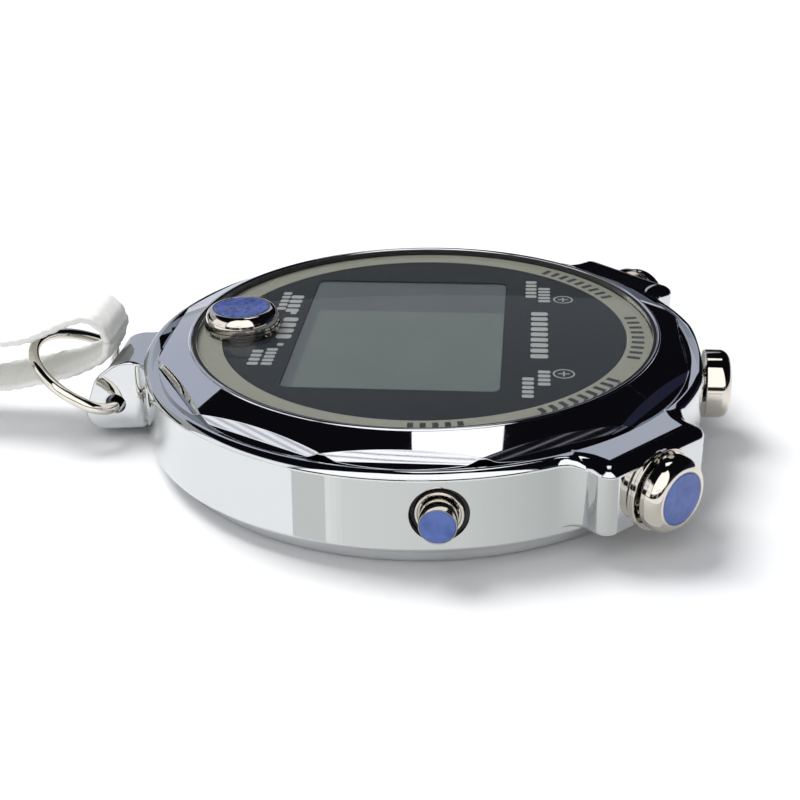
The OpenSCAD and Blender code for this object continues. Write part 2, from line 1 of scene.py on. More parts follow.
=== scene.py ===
"""Handheld digital stopwatch: chrome case, twelve-sided bezel, five push buttons, ring and lanyard.

Lengths are millimetres in the CAD's frame until build() turns them into metres. Angles are degrees
counted from +X, the side of the light button, towards +Y, the side of the recall button. A shape is
(points, faces, normals), with a normal for each point or for each corner of each face.
"""
from collections import namedtuple
from math import atan2, cos, pi, radians, sin, tan

import bpy
import numpy as np
from mathutils import Matrix, Vector
from mathutils.bvhtree import BVHTree


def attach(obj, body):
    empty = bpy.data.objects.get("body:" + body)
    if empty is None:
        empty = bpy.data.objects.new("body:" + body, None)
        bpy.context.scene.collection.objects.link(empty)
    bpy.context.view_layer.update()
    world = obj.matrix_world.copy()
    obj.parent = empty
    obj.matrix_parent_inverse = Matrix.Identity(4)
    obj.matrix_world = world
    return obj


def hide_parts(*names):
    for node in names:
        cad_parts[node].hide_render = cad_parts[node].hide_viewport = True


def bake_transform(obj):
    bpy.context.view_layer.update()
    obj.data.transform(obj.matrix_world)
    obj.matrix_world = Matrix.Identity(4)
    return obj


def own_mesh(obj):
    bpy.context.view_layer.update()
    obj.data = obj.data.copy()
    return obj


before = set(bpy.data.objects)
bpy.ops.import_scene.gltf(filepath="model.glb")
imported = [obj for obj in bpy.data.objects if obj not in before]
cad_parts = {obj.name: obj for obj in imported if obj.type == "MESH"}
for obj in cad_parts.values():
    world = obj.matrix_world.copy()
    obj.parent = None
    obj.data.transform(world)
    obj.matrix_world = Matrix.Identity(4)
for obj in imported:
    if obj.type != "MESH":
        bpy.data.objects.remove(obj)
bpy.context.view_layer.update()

MM = 0.001

CASE_R, CASE_TOP = 31.2, 10.7
SHOULDER_FACE, SHOULDER_HALF, SHOULDER_CORNER, SHOULDER_FILLET = 34.7, 7.3, 1.6, 1.9
RECALL_FLAT = 30.5
# The steps inside the case from the bezel's seat down to the back: radius and height.
INSIDE = [(30.2, CASE_TOP), (30.2, 9.9), (28.8, 9.9), (28.8, 8.6), (28.2, 8.6), (28.2, 4), (26, 4),
          (26, 2)]

SECTOR = pi / 6
BEZEL_WALL, BEZEL_FOOT, LIP_R = 29.5, 9.93, 26.12
CONE_Z, CONE_SLOPE = 11.25, 0.40294
STEEP_SLOPE, STEEP_AT = tan(radians(65)), 28.495
GENTLE_SLOPE, GENTLE_AT, GENTLE_Z = tan(radians(24)), 28.79, 10.62

DIAL_BOTTOM, DIAL_TOP, DIAL_R, CHAPTER_R = 11.0, 11.68, 22.4, 25.2
LENS_BOTTOM, LENS_TOP, LENS_R, GASKET_R = 11.73, 12.7, 25.28, 25.59
MARK_LOW, MARK_HIGH = -0.01, 0.015

BUTTON_Z, TRAVEL = 6.4, 0.6
MODE_PLACE, MODE_HOLE = Matrix.Translation((0, -20.5, 0)), 4.25
# Along a side button's axis, from the case's middle out, the bore starts at bore0, the sleeve ends at
# face, and the head reaches from head0 to head1. The rest are radii: hole is the case's hole for the
# stem, coil the spring's, and cup the raised cup's round the head, or 0 where there is none.
SideButton = namedtuple("SideButton", "name angle offset hole bore bore0 face stem coil head0 head1 "
                                      "head cap cup")
SIDE_BUTTONS = [
    SideButton("start_stop", 45, 0, 2.3, 3.9, 30.6, 34.7, 1.6, 1.95, 35.5, 37.5, 3.9, 2.7, 4.25),
    SideButton("lap_reset", 135, 0, 2.3, 3.9, 30.6, 34.7, 1.6, 1.95, 35.5, 37.5, 3.9, 2.7, 4.25),
    SideButton("recall", 90, 0, 2.3, 3.3, 29.0, 30.5, 1.6, 1.95, 31.15, 34.0, 3.8, 0, 0),
    SideButton("light", 0, 3.7, 1.7, 2.36, 28.6, 30.9, 1.0, 1.35, 30.5, 33.2, 1.86, 1.74, 0)]
LIGHT_SEAL_R, LIGHT_SEAL_FOOT = 2.88, 29.6

HOLE_Y, HOLE_Z = -34.8, 4.2
WIRE, RING_TILT = 0.65, 28.5
RING_HALF, RING_CORNER, RING_BOW = 4.65, 3, 7.65

STRAP_W, STRAP_T, STRAP_STEP = 8.0, 1.3, 0.36
HANK_Z, PITCH, TIED_PITCH, TIE_Y = 4.6, 4.6, 1.52, -128.0
# The strap's route near the ring, from the outer end of the upper leg over the fold to the outer end
# of the lower leg: a point and the strap's lean about its own line.
FOLD = [(-2.6, -66, 4.6, 90), (-2.6, -61, 5.8, 76), (-1.9, -57, 8.3, 45), (-0.7, -53, 10.2, 14),
        (0, -49, 10.9, 0), (0, -45, 11.4, 0), (0, -42, 12.6, 0), (0, -39.5, 13.7, 0),
        (0, -37.6, 14.1, 0), (0, -35.9, 13.1, 0), (0, -35.2, 11.4, 0), (0, -35.9, 9.6, 0),
        (0, -37.6, 8.5, 0), (0, -39.8, 7.5, 0), (0, -43, 6.6, 0), (0, -48, 5.5, 0),
        (0.7, -53, 4.9, 14), (1.9, -57, 4.7, 45), (2.6, -61, 4.6, 76), (2.6, -66, 4.6, 90)]
BIGHT = 10


# -------- meshes

def build(name, points, faces, normals=None, material=None):
    """A mesh object from a shape in millimetres."""
    mesh = bpy.data.meshes.new(name)
    mesh.from_pydata((np.asarray(points, float) * MM).tolist(), [], [tuple(f) for f in faces])
    mesh.polygons.foreach_set("use_smooth", [True] * len(mesh.polygons))
    if material:
        mesh.materials.append(material)
    if normals is not None and len(normals) == len(points):
        mesh.normals_split_custom_set_from_vertices(np.asarray(normals, float).tolist())
    elif normals is not None:
        mesh.normals_split_custom_set(np.asarray(normals, float).tolist())
    obj = bpy.data.objects.new(name, mesh)
    bpy.context.scene.collection.objects.link(obj)
    return obj


def piece(name, shape, material, body, slot, *nodes):
    """A mesh object that rides on a body and stands for CAD nodes."""
    obj = build(name, *shape, material=material)
    if nodes:
        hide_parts(*nodes)
    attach(obj, body)
    return obj


def unit(rows):
    """The same vectors with a length of 1."""
    return rows / np.linalg.norm(rows, axis=-1)[..., None]


def distances(points):
    """How far along a line of points each one lies."""
    return np.concatenate([[0], np.cumsum(np.linalg.norm(np.diff(points, axis=0), axis=1))])


def arc(first, last, count):
    """Evenly spaced angles between two angles in degrees, as radians."""
    return [radians(first + (last - first) * k / (count - 1)) for k in range(count)]


def band(i, j, m):
    """The faces between row i and row j of points, with m points round each row."""
    return [[i * m + k, i * m + (k + 1) % m, j * m + (k + 1) % m, j * m + k] for k in range(m)]


def rounded(points, closed=False, steps=6):
    """Points (a, b, radius) as rows (a, b, na, nb, joined), each corner turned into an arc.

    The outside lies to the right of the way the points run. A corner of radius 0 stays sharp: it
    gives two rows, the second one not joined to the first."""
    rows = []
    n = len(points)
    corners = range(n) if closed else range(1, n - 1)
    heading = lambda v: v / max(np.hypot(*v), 1e-12)
    out = lambda d: np.array([d[1], -d[0]])
    at = [np.array(p[:2], float) for p in points]
    if not closed:
        rows.append((*at[0], *out(heading(at[1] - at[0])), False))
    for i in corners:
        here, radius = at[i], points[i][2] if len(points[i]) > 2 else 0
        d1, d2 = heading(here - at[i - 1]), heading(at[(i + 1) % n] - here)
        turn = atan2(d1[0] * d2[1] - d1[1] * d2[0], float(d1 @ d2))
        if radius <= 0 or abs(turn) < 1e-4:
            rows.append((*here, *out(d1), bool(rows)))
            rows.append((*here, *out(d2), abs(turn) < 0.2))
            continue
        side = 1 if turn > 0 else -1
        start = here - d1 * radius * tan(abs(turn) / 2)
        centre = start - side * radius * out(d1)
        a1 = atan2(out(d1)[1], out(d1)[0])
        for k in range(steps + 1):
            a = a1 + turn * k / steps
            normal = np.array([cos(a), sin(a)])
            rows.append((*(centre + side * radius * normal), *normal, bool(rows)))
    if not closed:
        rows.append((*at[-1], *out(heading(at[-1] - at[-2])), True))
    return rows


def closed_rows(points, steps=6):
    """rounded() rows of a closed outline, with the first row again at the end."""
    rows = rounded(points, closed=True, steps=steps)
    return rows + [(*rows[0][:4], True)]


def lathe(rows, turns=144):
    """Rows (radius, height, normal, joined) turned about Z."""
    points, normals, faces, index = [], [], [], []
    angles = [2 * pi * k / turns for k in range(turns)]
    for r, z, nr, nz, _ in rows:
        if r < 1e-6:
            index.append([len(points)] * turns)
            points.append((0, 0, z))
            normals.append((0, 0, 1 if nz > 0 else -1))
            continue
        index.append(list(range(len(points), len(points) + turns)))
        for a in angles:
            points.append((r * cos(a), r * sin(a), z))
            normals.append((nr * cos(a), nr * sin(a), nz))
    for i in range(1, len(rows)):
        apart = np.hypot(rows[i][0] - rows[i - 1][0], rows[i][1] - rows[i - 1][1])
        if not rows[i][4] or apart < 1e-7:
            continue
        low, high = index[i - 1], index[i]
        for k in range(turns):
            j = (k + 1) % turns
            faces.append(list(dict.fromkeys([low[k], low[j], high[j], high[k]])))
    return np.array(points), faces, np.array(normals)


def tube(radius, low, high, edge=0, turns=96):
    """A closed cylinder along Z, its top edge rounded."""
    return lathe(rounded([(0, low), (radius, low), (radius, high, edge), (0, high)]), turns)


def hoop(inner, outer, low, high, edge=0, turns=96):
    """A closed flat ring about Z, its top edges rounded."""
    return lathe(closed_rows([(inner, low), (outer, low), (outer, high, edge), (inner, high, edge)]),
                 turns)


def rounded_box(low, high, radius):
    """A closed box with rounded upright edges."""
    (x0, y0, z0), (x1, y1, z1) = low, high
    corners = [(x0, y0, radius), (x1, y0, radius), (x1, y1, radius), (x0, y1, radius)]
    rows = np.array([r[:4] for r in rounded(corners, closed=True, steps=8)])
    n = len(rows)
    bottom, top = (np.column_stack([rows[:, :2], np.full(n, z)]) for z in (z0, z1))
    wall = np.column_stack([rows[:, 2:], np.zeros(n)])
    normals = np.vstack([wall, wall, np.tile([0, 0, -1.0], (n, 1)), np.tile([0, 0, 1.0], (n, 1))])
    caps = [[2 * n + k for k in range(n)][::-1], [3 * n + k for k in range(n)]]
    return np.vstack([bottom, top, bottom, top]), band(0, 1, n) + caps, normals


def disc(radius, count):
    """A round section for sweep()."""
    return [(radius * cos(a), radius * sin(a), cos(a), sin(a))
            for a in (2 * pi * k / count for k in range(count))]


def sweep(path, section, widths, closed=False):
    """Sweeps a section of (across, through, n_across, n_through) rows along path.

    widths holds the direction of the section's first axis at each point of the path."""
    path, widths = np.asarray(path, float), np.asarray(widths, float)
    n, m = len(path), len(section)
    ahead = np.roll(path, -1, 0) - np.roll(path, 1, 0) if closed else np.gradient(path, axis=0)
    ahead = unit(ahead)
    widths = unit(widths - ahead * (widths * ahead).sum(1)[:, None])
    through = np.cross(ahead, widths)
    points, normals = [], []
    for i in range(n):
        for a, b, na, nb in section:
            points.append(path[i] + a * widths[i] + b * through[i])
            normals.append(na * widths[i] + nb * through[i])
    faces = [face for i in range(n if closed else n - 1) for face in band(i, (i + 1) % n, m)]
    if not closed:
        faces += [list(range(m))[::-1], list(range((n - 1) * m, n * m))]
    return np.array(points), faces, np.array(normals)


def loft(rings):
    """A closed skin over rings of (points, normals, joined); one that isn't joined starts a surface."""
    faces = []
    for i in range(len(rings)):
        j = (i + 1) % len(rings)
        if rings[j][2]:
            faces += band(i, j, len(rings[0][0]))
    return np.vstack([r[0] for r in rings]), faces, np.vstack([r[1] for r in rings])


def placed(shape, matrix):
    points, faces, normals = shape
    turn = np.array(matrix.to_3x3())
    return points @ turn.T + np.array(matrix.translation), faces, normals @ turn.T


def merged(*shapes):
    """Several shapes as one; all hold normals for points, or all of them for corners."""
    points, faces, normals, base = [], [], [], 0
    for p, f, n in shapes:
        points.append(p)
        normals.append(n)
        faces += [[i + base for i in face] for face in f]
        base += len(p)
    return np.vstack(points), faces, np.vstack(normals)


def by_corner(shape):
    """The same shape with a normal for each corner of each face."""
    points, faces, normals = shape
    return points, faces, np.array([normals[i] for face in faces for i in face])


def cut(shape, *cutters):
    """Takes closed cutters out of a closed shape. Every corner keeps the normal of the surface it came
    from, so the result holds one normal for each corner of each face."""
    weld_gap, search, flat_gain = 2e-8, 3e-5, 1e-4
    solids = []
    for points, faces, _ in (shape, *cutters):
        solid = build("cutting", points, faces)
        weld = solid.modifiers.new("weld", "WELD")
        weld.merge_threshold = weld_gap
        solids.append(solid)
    for tool in solids[1:]:
        step = solids[0].modifiers.new("cut", "BOOLEAN")
        step.operation, step.solver, step.object = "DIFFERENCE", "EXACT", tool
    depsgraph = bpy.context.evaluated_depsgraph_get()
    mesh = bpy.data.meshes.new_from_object(solids[0].evaluated_get(depsgraph))
    corners, triangles, normals = [], [], []
    for sign, (points, faces, given) in [(1, shape)] + [(-1, c) for c in cutters]:
        base = len(corners)
        corners += [Vector(p * MM) for p in points]
        normals += [sign * n for n in given]
        for face in faces:
            for k in range(1, len(face) - 1):
                triangles.append((base + face[0], base + face[k], base + face[k + 1]))
    tree = BVHTree.FromPolygons(corners, triangles)
    at, normals = np.array([list(c) for c in corners]), np.array(normals)
    vertices = np.array([list(v.co) for v in mesh.vertices])
    faces, result = [], []
    for polygon in mesh.polygons:
        faces.append(list(polygon.vertices))
        flat = np.array(polygon.normal)
        source, least = None, None
        for _, _, hit, gap in tree.find_nearest_range(Vector(vertices[faces[-1]].mean(0)), search):
            score = gap - flat_gain * (normals[list(triangles[hit])].mean(0) @ flat)
            if source is None or score < least:
                source, least = list(triangles[hit]), score
        for v in polygon.vertices:
            normal = flat
            if source is not None:
                a, b, c = at[source]
                ab, ac, ap = b - a, c - a, vertices[v] - a
                det = (ab @ ab) * (ac @ ac) - (ab @ ac) ** 2
                if det > 1e-24:
                    s = ((ac @ ac) * (ap @ ab) - (ab @ ac) * (ap @ ac)) / det
                    t = ((ab @ ab) * (ap @ ac) - (ab @ ac) * (ap @ ab)) / det
                    s, t = min(max(s, 0), 1), min(max(t, 0), 1)
                    found = np.array([1 - s - t, s, t]) @ normals[source]
                    if found @ flat > 0.2:
                        normal = found / np.linalg.norm(found)
            result.append(normal)
    for solid in solids:
        bpy.data.objects.remove(solid)
    bpy.data.meshes.remove(mesh)
    return vertices / MM, faces, np.array(result)


# -------- materials

def shader(mat):
    return mat.node_tree.nodes["Principled BSDF"]


def material(name, colour, metallic=0.0, rough=0.5, ior=1.5, coat=0.0, glass=0.0, shine=0.5):
    mat = bpy.data.materials.new(name)
    mat.use_nodes = True
    for key, value in (("Base Color", (*colour, 1)), ("Metallic", metallic), ("Roughness", rough),
                       ("IOR", ior), ("Coat Weight", coat), ("Coat Roughness", 0.05),
                       ("Transmission Weight", glass), ("Specular IOR Level", shine)):
        shader(mat).inputs[key].default_value = value
    return mat


def node(mat, kind, **settings):
    made = mat.node_tree.nodes.new(kind)
    for key, value in settings.items():
        if key in made.inputs:
            made.inputs[key].default_value = value
        else:
            setattr(made, key, value)
    return made


def wire(mat, out, into):
    mat.node_tree.links.new(out, into)


def maths(mat, operation, first, second):
    """A maths node on two values, each a socket or a number."""
    made = node(mat, "ShaderNodeMath", operation=operation)
    for socket, value in zip(made.inputs, (first, second)):
        if isinstance(value, (int, float)):
            socket.default_value = value
        else:
            wire(mat, value, socket)
    return made.outputs[0]


def own_space(mat, scale=(1, 1, 1)):
    place = node(mat, "ShaderNodeTexCoord")
    mapping = node(mat, "ShaderNodeMapping", Scale=scale)
    wire(mat, place.outputs["Object"], mapping.inputs["Vector"])
    return mapping.outputs["Vector"]


def noise(mat, size_mm, detail=2.0, scale=(1, 1, 1), rough=0.5):
    made = node(mat, "ShaderNodeTexNoise", Scale=1 / (size_mm * MM), Detail=detail, Roughness=rough)
    wire(mat, own_space(mat, scale), made.inputs["Vector"])
    return made.outputs["Fac"]


def waves(mat, pitch_mm, **settings):
    scale = 0.31 / (pitch_mm * MM)
    made = node(mat, "ShaderNodeTexWave", Scale=scale, **settings)
    wire(mat, own_space(mat), made.inputs["Vector"])
    return made.outputs["Fac"]


def ramp(mat, value, *stops):
    made = node(mat, "ShaderNodeValToRGB")
    points = made.color_ramp.elements
    while len(points) < len(stops):
        points.new(0.5)
    for point, (at, colour) in zip(points, stops):
        point.position = at
        point.color = (*colour, 1)
    wire(mat, value, made.inputs["Fac"])
    return made.outputs["Color"]


def paint(mat, colour):
    wire(mat, colour, shader(mat).inputs["Base Color"])


def bump(mat, height, distance_mm, strength=1.0):
    made = node(mat, "ShaderNodeBump", Strength=strength, Distance=distance_mm * MM)
    wire(mat, height, made.inputs["Height"])
    wire(mat, made.outputs["Normal"], shader(mat).inputs["Normal"])


def gloss(mat, value, low, high):
    """Roughness that runs from low to high with value."""
    made = node(mat, "ShaderNodeMapRange")
    made.inputs["To Min"].default_value = low
    made.inputs["To Max"].default_value = high
    wire(mat, value, made.inputs["Value"])
    wire(mat, made.outputs["Result"], shader(mat).inputs["Roughness"])


def polished(name, colour, low, high, wave_deep, size_mm=7.0):
    """Plated metal: nearly a mirror, with faint polishing waves and slightly duller patches."""
    mat = material(name, colour, metallic=1.0, rough=low)
    gloss(mat, noise(mat, 3.0, 3.0), low, high)
    bump(mat, noise(mat, size_mm, 1.0), wave_deep, 0.6)
    return mat


def speckled(name, colour, spread, rough, size_mm, deep=0.0, **more):
    """A plain surface whose colour and gloss vary a little, with a fine grain."""
    mat = material(name, colour, rough=rough, **more)
    low = tuple(c * (1 - spread) for c in colour)
    high = tuple(min(1, c * (1 + spread)) for c in colour)
    value = noise(mat, size_mm, 4.0)
    paint(mat, ramp(mat, value, (0.3, low), (0.7, high)))
    gloss(mat, value, max(0, rough - 0.06), min(1, rough + 0.06))
    if deep:
        bump(mat, noise(mat, size_mm / 3, 3.0), deep, 0.5)
    return mat


def brushed(name, colour, rough, along, size_mm=0.6):
    """Metal with fine lines; along holds how far the grain is stretched on each axis."""
    mat = material(name, colour, metallic=1.0, rough=rough)
    value = noise(mat, size_mm, 3.0, scale=along)
    gloss(mat, value, rough * 0.7, rough * 1.4)
    bump(mat, value, 0.01, 0.3)
    return mat


def circular(name, colour, rough, pitch_mm, deep):
    """Metal faced on a lathe: fine rings about the case's axis."""
    mat = material(name, colour, metallic=1.0, rough=rough)
    rings = waves(mat, pitch_mm, wave_type="RINGS", rings_direction="Z", Distortion=0.6, Detail=2.0)
    gloss(mat, rings, rough * 0.8, rough * 1.3)
    bump(mat, rings, deep, 0.5)
    return mat


CHROME = polished("case_chrome", (0.665, 0.68, 0.685), 0.02, 0.05, 0.004)
BEZEL_CHROME = polished("bezel_chrome", (0.70, 0.71, 0.74), 0.01, 0.03, 0.0006)
NICKEL = polished("button_nickel", (0.72, 0.675, 0.61), 0.03, 0.07, 0.0015, 3.0)
RING_NICKEL = polished("ring_nickel", (0.74, 0.70, 0.63), 0.03, 0.08, 0.003, 2.0)
COVER_STEEL = circular("cover_steel", (0.72, 0.72, 0.73), 0.22, 0.35, 0.004)
SCREW_STEEL = brushed("screw_steel", (0.62, 0.62, 0.64), 0.25, (1, 1, 1), 0.2)
SPRING_STEEL = brushed("spring_steel", (0.56, 0.56, 0.57), 0.25, (1, 1, 1), 0.1)
CELL_STEEL = brushed("cell_steel", (0.66, 0.66, 0.66), 0.3, (1, 0.1, 1), 0.3)
CONTACT = brushed("contact_nickel", (0.72, 0.67, 0.58), 0.3, (1, 0.2, 1), 0.3)
BRASS = circular("sounder_brass", (0.76, 0.58, 0.28), 0.3, 0.4, 0.003)
SWITCH = brushed("switch_metal", (0.62, 0.62, 0.62), 0.32, (1, 0.2, 1), 0.3)
RUBBER = speckled("black_rubber", (0.012, 0.012, 0.012), 0.3, 0.6, 0.4, 0.004)
FRAME = speckled("frame_plastic", (0.014, 0.014, 0.015), 0.25, 0.5, 0.6, 0.006)
FILM = speckled("insulator_film", (0.74, 0.74, 0.72), 0.06, 0.4, 2.0)
DIFFUSER = speckled("diffuser", (0.70, 0.76, 0.66), 0.05, 0.45, 1.0)
RESIN = speckled("chip_resin", (0.010, 0.010, 0.011), 0.2, 0.18, 0.5, 0.006)
TIE = speckled("tie_wire", (0.02, 0.02, 0.021), 0.2, 0.35, 0.6, 0.004)
PRINT = speckled("light_print", (0.23, 0.24, 0.235), 0.06, 0.5, 0.3, shine=0.1)
DARK_PRINT = speckled("dark_print", (0.012, 0.014, 0.018), 0.1, 0.5, 0.3, shine=0.1)
DIAL = speckled("dial_print", (0.009, 0.0115, 0.0135), 0.08, 0.5, 0.5, shine=0.03)
CHAPTER = speckled("chapter_print", (0.175, 0.177, 0.145), 0.05, 0.45, 0.8, shine=0.08)


def blue_cap():
    mat = material("blue_cap", (0.05, 0.10, 0.40), rough=0.2, coat=0.3)
    value = noise(mat, 0.55, 4.0, rough=0.65)
    paint(mat, ramp(mat, value, (0.36, (0.010, 0.020, 0.11)), (0.5, (0.030, 0.060, 0.24)),
                    (0.72, (0.075, 0.115, 0.34))))
    gloss(mat, noise(mat, 0.8, 3.0), 0.18, 0.4)
    bump(mat, noise(mat, 0.35, 3.0), 0.012, 0.5)
    return mat


def pale_cap():
    mat = material("blue_cap_side", (0.10, 0.18, 0.56), rough=0.3, coat=0.2)
    value = noise(mat, 1.6, 3.0)
    paint(mat, ramp(mat, value, (0.35, (0.045, 0.095, 0.36)), (0.65, (0.085, 0.155, 0.47))))
    gloss(mat, value, 0.25, 0.4)
    bump(mat, noise(mat, 0.3, 3.0), 0.004, 0.4)
    return mat


def lcd():
    """Display glass: a grey-green field inside a darker band round its edges, which is painted shade
    and painted reflection of the window's recess, with a faint cell grain.
    """
    mat = material("lcd_glass", (0.13, 0.155, 0.15), rough=0.3, shine=0.12)
    place = node(mat, "ShaderNodeSeparateXYZ")
    wire(mat, own_space(mat), place.inputs["Vector"])
    inside, soft = [], 0.0003
    for axis, middle, half in (("X", 0.0045, 0.0106), ("Y", -0.0018, 0.0108)):
        off = maths(mat, "SUBTRACT", place.outputs[axis], middle)
        edge = node(mat, "ShaderNodeMapRange", interpolation_type="SMOOTHSTEP")
        edge.inputs["From Min"].default_value = half + soft
        edge.inputs["From Max"].default_value = half - soft
        wire(mat, maths(mat, "ABSOLUTE", off, 0), edge.inputs["Value"])
        inside.append(edge.outputs["Result"])
    grain = noise(mat, 9.0, 2.0)
    # painted shade and reflection: the band outside the field is darker, as if the recess shaded and
    # reflected there
    painted_recess_shade = ramp(mat, grain, (0.35, (0.050, 0.061, 0.064)), (0.7, (0.057, 0.067, 0.071)))
    field = ramp(mat, grain, (0.35, (0.074, 0.093, 0.089)), (0.7, (0.083, 0.102, 0.097)))
    blend = node(mat, "ShaderNodeMix", data_type="RGBA")
    wire(mat, maths(mat, "MULTIPLY", *inside), blend.inputs[0])
    wire(mat, painted_recess_shade, blend.inputs[6])
    wire(mat, field, blend.inputs[7])
    paint(mat, blend.outputs[2])
    bump(mat, noise(mat, 0.12, 2.0), 0.001, 0.3)
    return mat


def board():
    mat = material("board_laminate", (0.02, 0.12, 0.05), rough=0.35)
    tracks = node(mat, "ShaderNodeTexBrick", Scale=1 / (6 * MM), offset=0.5)
    tracks.inputs["Color1"].default_value = (0.012, 0.075, 0.030, 1)
    tracks.inputs["Color2"].default_value = (0.014, 0.090, 0.036, 1)
    tracks.inputs["Mortar"].default_value = (0.03, 0.19, 0.08, 1)
    tracks.inputs["Mortar Size"].default_value = 0.03
    wire(mat, own_space(mat), tracks.inputs["Vector"])
    paint(mat, tracks.outputs["Color"])
    bump(mat, tracks.outputs["Fac"], 0.03, 0.5)
    return mat


def zebra():
    mat = material("zebra_rubber", (0.05, 0.05, 0.05), rough=0.6)
    bands = waves(mat, 0.3, wave_type="BANDS", bands_direction="X")
    paint(mat, ramp(mat, bands, (0.45, (0.02, 0.02, 0.02)), (0.55, (0.5, 0.5, 0.5))))
    return mat


def weave():
    mat = material("strap_weave", (0.88, 0.88, 0.85), rough=0.85)
    shader(mat).inputs["Sheen Weight"].default_value = 0.25
    value = noise(mat, 0.35, 5.0, rough=0.7)
    paint(mat, ramp(mat, value, (0.3, (0.82, 0.82, 0.78)), (0.7, (0.92, 0.92, 0.89))))
    bump(mat, noise(mat, 0.12, 3.0), 0.02, 0.6)
    return mat


BLUE, PALE_BLUE, LCD, BOARD, ZEBRA, WEAVE = blue_cap(), pale_cap(), lcd(), board(), zebra(), weave()
GLASS = material("clear_lens", (0.985, 0.99, 0.985), rough=0.0, ior=1.095, glass=1.0)


# -------- case

def round_union(a, b, radius):
    reach = np.hypot(np.maximum(radius - a, 0), np.maximum(radius - b, 0))
    return np.maximum(radius, np.minimum(a, b)) - reach


def plan_distance(x, y, shoulders):
    """Signed distance from the case's outline seen from above."""
    middle, flat_round = 16.9, 0.6
    d = np.hypot(x, y) - CASE_R
    for angle in (45, 135) if shoulders else ():
        c, s = cos(radians(angle)), sin(radians(angle))
        u = np.abs(x * c + y * s - middle) - (SHOULDER_FACE - middle - SHOULDER_CORNER)
        v = np.abs(y * c - x * s) - (SHOULDER_HALF - SHOULDER_CORNER)
        box = (np.hypot(np.maximum(u, 0), np.maximum(v, 0)) + np.minimum(np.maximum(u, v), 0)
               - SHOULDER_CORNER)
        d = round_union(d, box, SHOULDER_FILLET)
    flat = y - RECALL_FLAT
    return (np.minimum(-flat_round, np.maximum(d, flat))
            + np.hypot(np.maximum(flat_round + d, 0), np.maximum(flat_round + flat, 0)))


def plan(angles, shoulders, inset=0.0):
    """Points of the outline, or of the line that far inside it, and their outward normals."""
    low, high = np.full(len(angles), 25.0), np.full(len(angles), 37.0)
    for _ in range(45):
        middle = (low + high) / 2
        inside = plan_distance(middle * np.cos(angles), middle * np.sin(angles), shoulders) < -inset
        low, high = np.where(inside, middle, low), np.where(inside, high, middle)
    x, y = low * np.cos(angles), low * np.sin(angles)
    e = 1e-4
    nx = plan_distance(x + e, y, shoulders) - plan_distance(x - e, y, shoulders)
    ny = plan_distance(x, y + e, shoulders) - plan_distance(x, y - e, shoulders)
    return np.stack([x, y], 1), np.stack([nx, ny], 1) / np.hypot(nx, ny)[:, None]


def even_angles(count):
    """Angles whose points lie evenly along the outline, so the steep shoulders get enough of them."""
    dense = np.linspace(0, 2 * pi, 14401)
    steps = distances(plan(dense, True)[0])
    return np.interp(np.linspace(0, steps[-1], count + 1)[:-1], steps, dense)


def case_shell():
    """The wall with its rounded edges and shoulders, then the steps inside it."""
    foot_round, ledge_z, ledge_round = 0.8, 3.3, 0.6
    angles = even_angles(1300)
    whole, whole_n = plan(angles, True)
    bare, bare_n = plan(angles, False)
    around = np.column_stack([np.cos(angles), np.sin(angles)])
    up, down = np.array([0, 0, 1.0]), np.array([0, 0, -1.0])
    rings = []

    def ring(flat, z, normal, joined=True):
        points = np.column_stack([flat, np.broadcast_to(z, len(flat))])
        rings.append((points, np.broadcast_to(normal, points.shape).astype(float), joined))

    def tilted(side, turn):
        turn = np.broadcast_to(turn, len(side))
        return np.column_stack([side * np.cos(turn)[:, None], np.sin(turn)])

    inner_r, foot = INSIDE[-1]
    ring(around * inner_r, foot, down, False)
    for a in arc(-90, 0, 7):
        ring(bare - bare_n * foot_round * (1 - cos(a)), foot + foot_round + foot_round * sin(a),
             tilted(bare_n, a))
    ring(bare, ledge_z, tilted(bare_n, 0))
    # under the shoulders, whose round fades out where they run into the wall
    fade = np.clip(np.linalg.norm(whole - bare, axis=1) / 0.8, 0, 1)
    edge = ledge_round * fade
    ring(bare, ledge_z, down, False)
    ring(plan(angles, True, edge)[0], ledge_z, down)
    for a in arc(-90, 0, 6):
        ring(plan(angles, True, edge * (1 - cos(a)))[0], ledge_z + ledge_round * (1 + sin(a)),
             tilted(whole_n, a * fade))
    # the top edge, rounded wider on the shoulders
    reach = np.linalg.norm(whole, axis=1)
    out = np.clip(reach - 30.25, 0.25, 0.9) + 1.0 * np.clip(reach - 31.6, 0, 1.3)
    drop = np.clip(reach - 30.25, 0.25, 0.9) + 0.15 * np.clip(reach - 31.6, 0, 1.3)
    edges = np.array([np.column_stack([plan(angles, True, out * (1 - cos(a)))[0],
                                       CASE_TOP - drop * (1 - sin(a))]) for a in arc(0, 90, 17)])
    rise = unit(np.cross(np.roll(edges, -1, 1) - np.roll(edges, 1, 1), np.gradient(edges, axis=0)))
    rise[0], rise[-1] = tilted(whole_n, 0), up
    rings += [(row, side, True) for row, side in zip(edges, rise)]
    ring(around * INSIDE[0][0], CASE_TOP, up)
    for (r1, z1), (r2, z2) in zip(INSIDE, INSIDE[1:]):
        side = tilted(-around, 0) if r1 == r2 else up
        ring(around * r1, z1, side, False)
        ring(around * r2, z2, side)
    return loft(rings)


def side_place(button):
    """Turns local Z, the button's axis, outwards at its angle."""
    return (Matrix.Rotation(radians(button.angle), 4, "Z")
            @ Matrix.Translation((0, button.offset, BUTTON_Z)) @ Matrix.Rotation(radians(90), 4, "Y"))


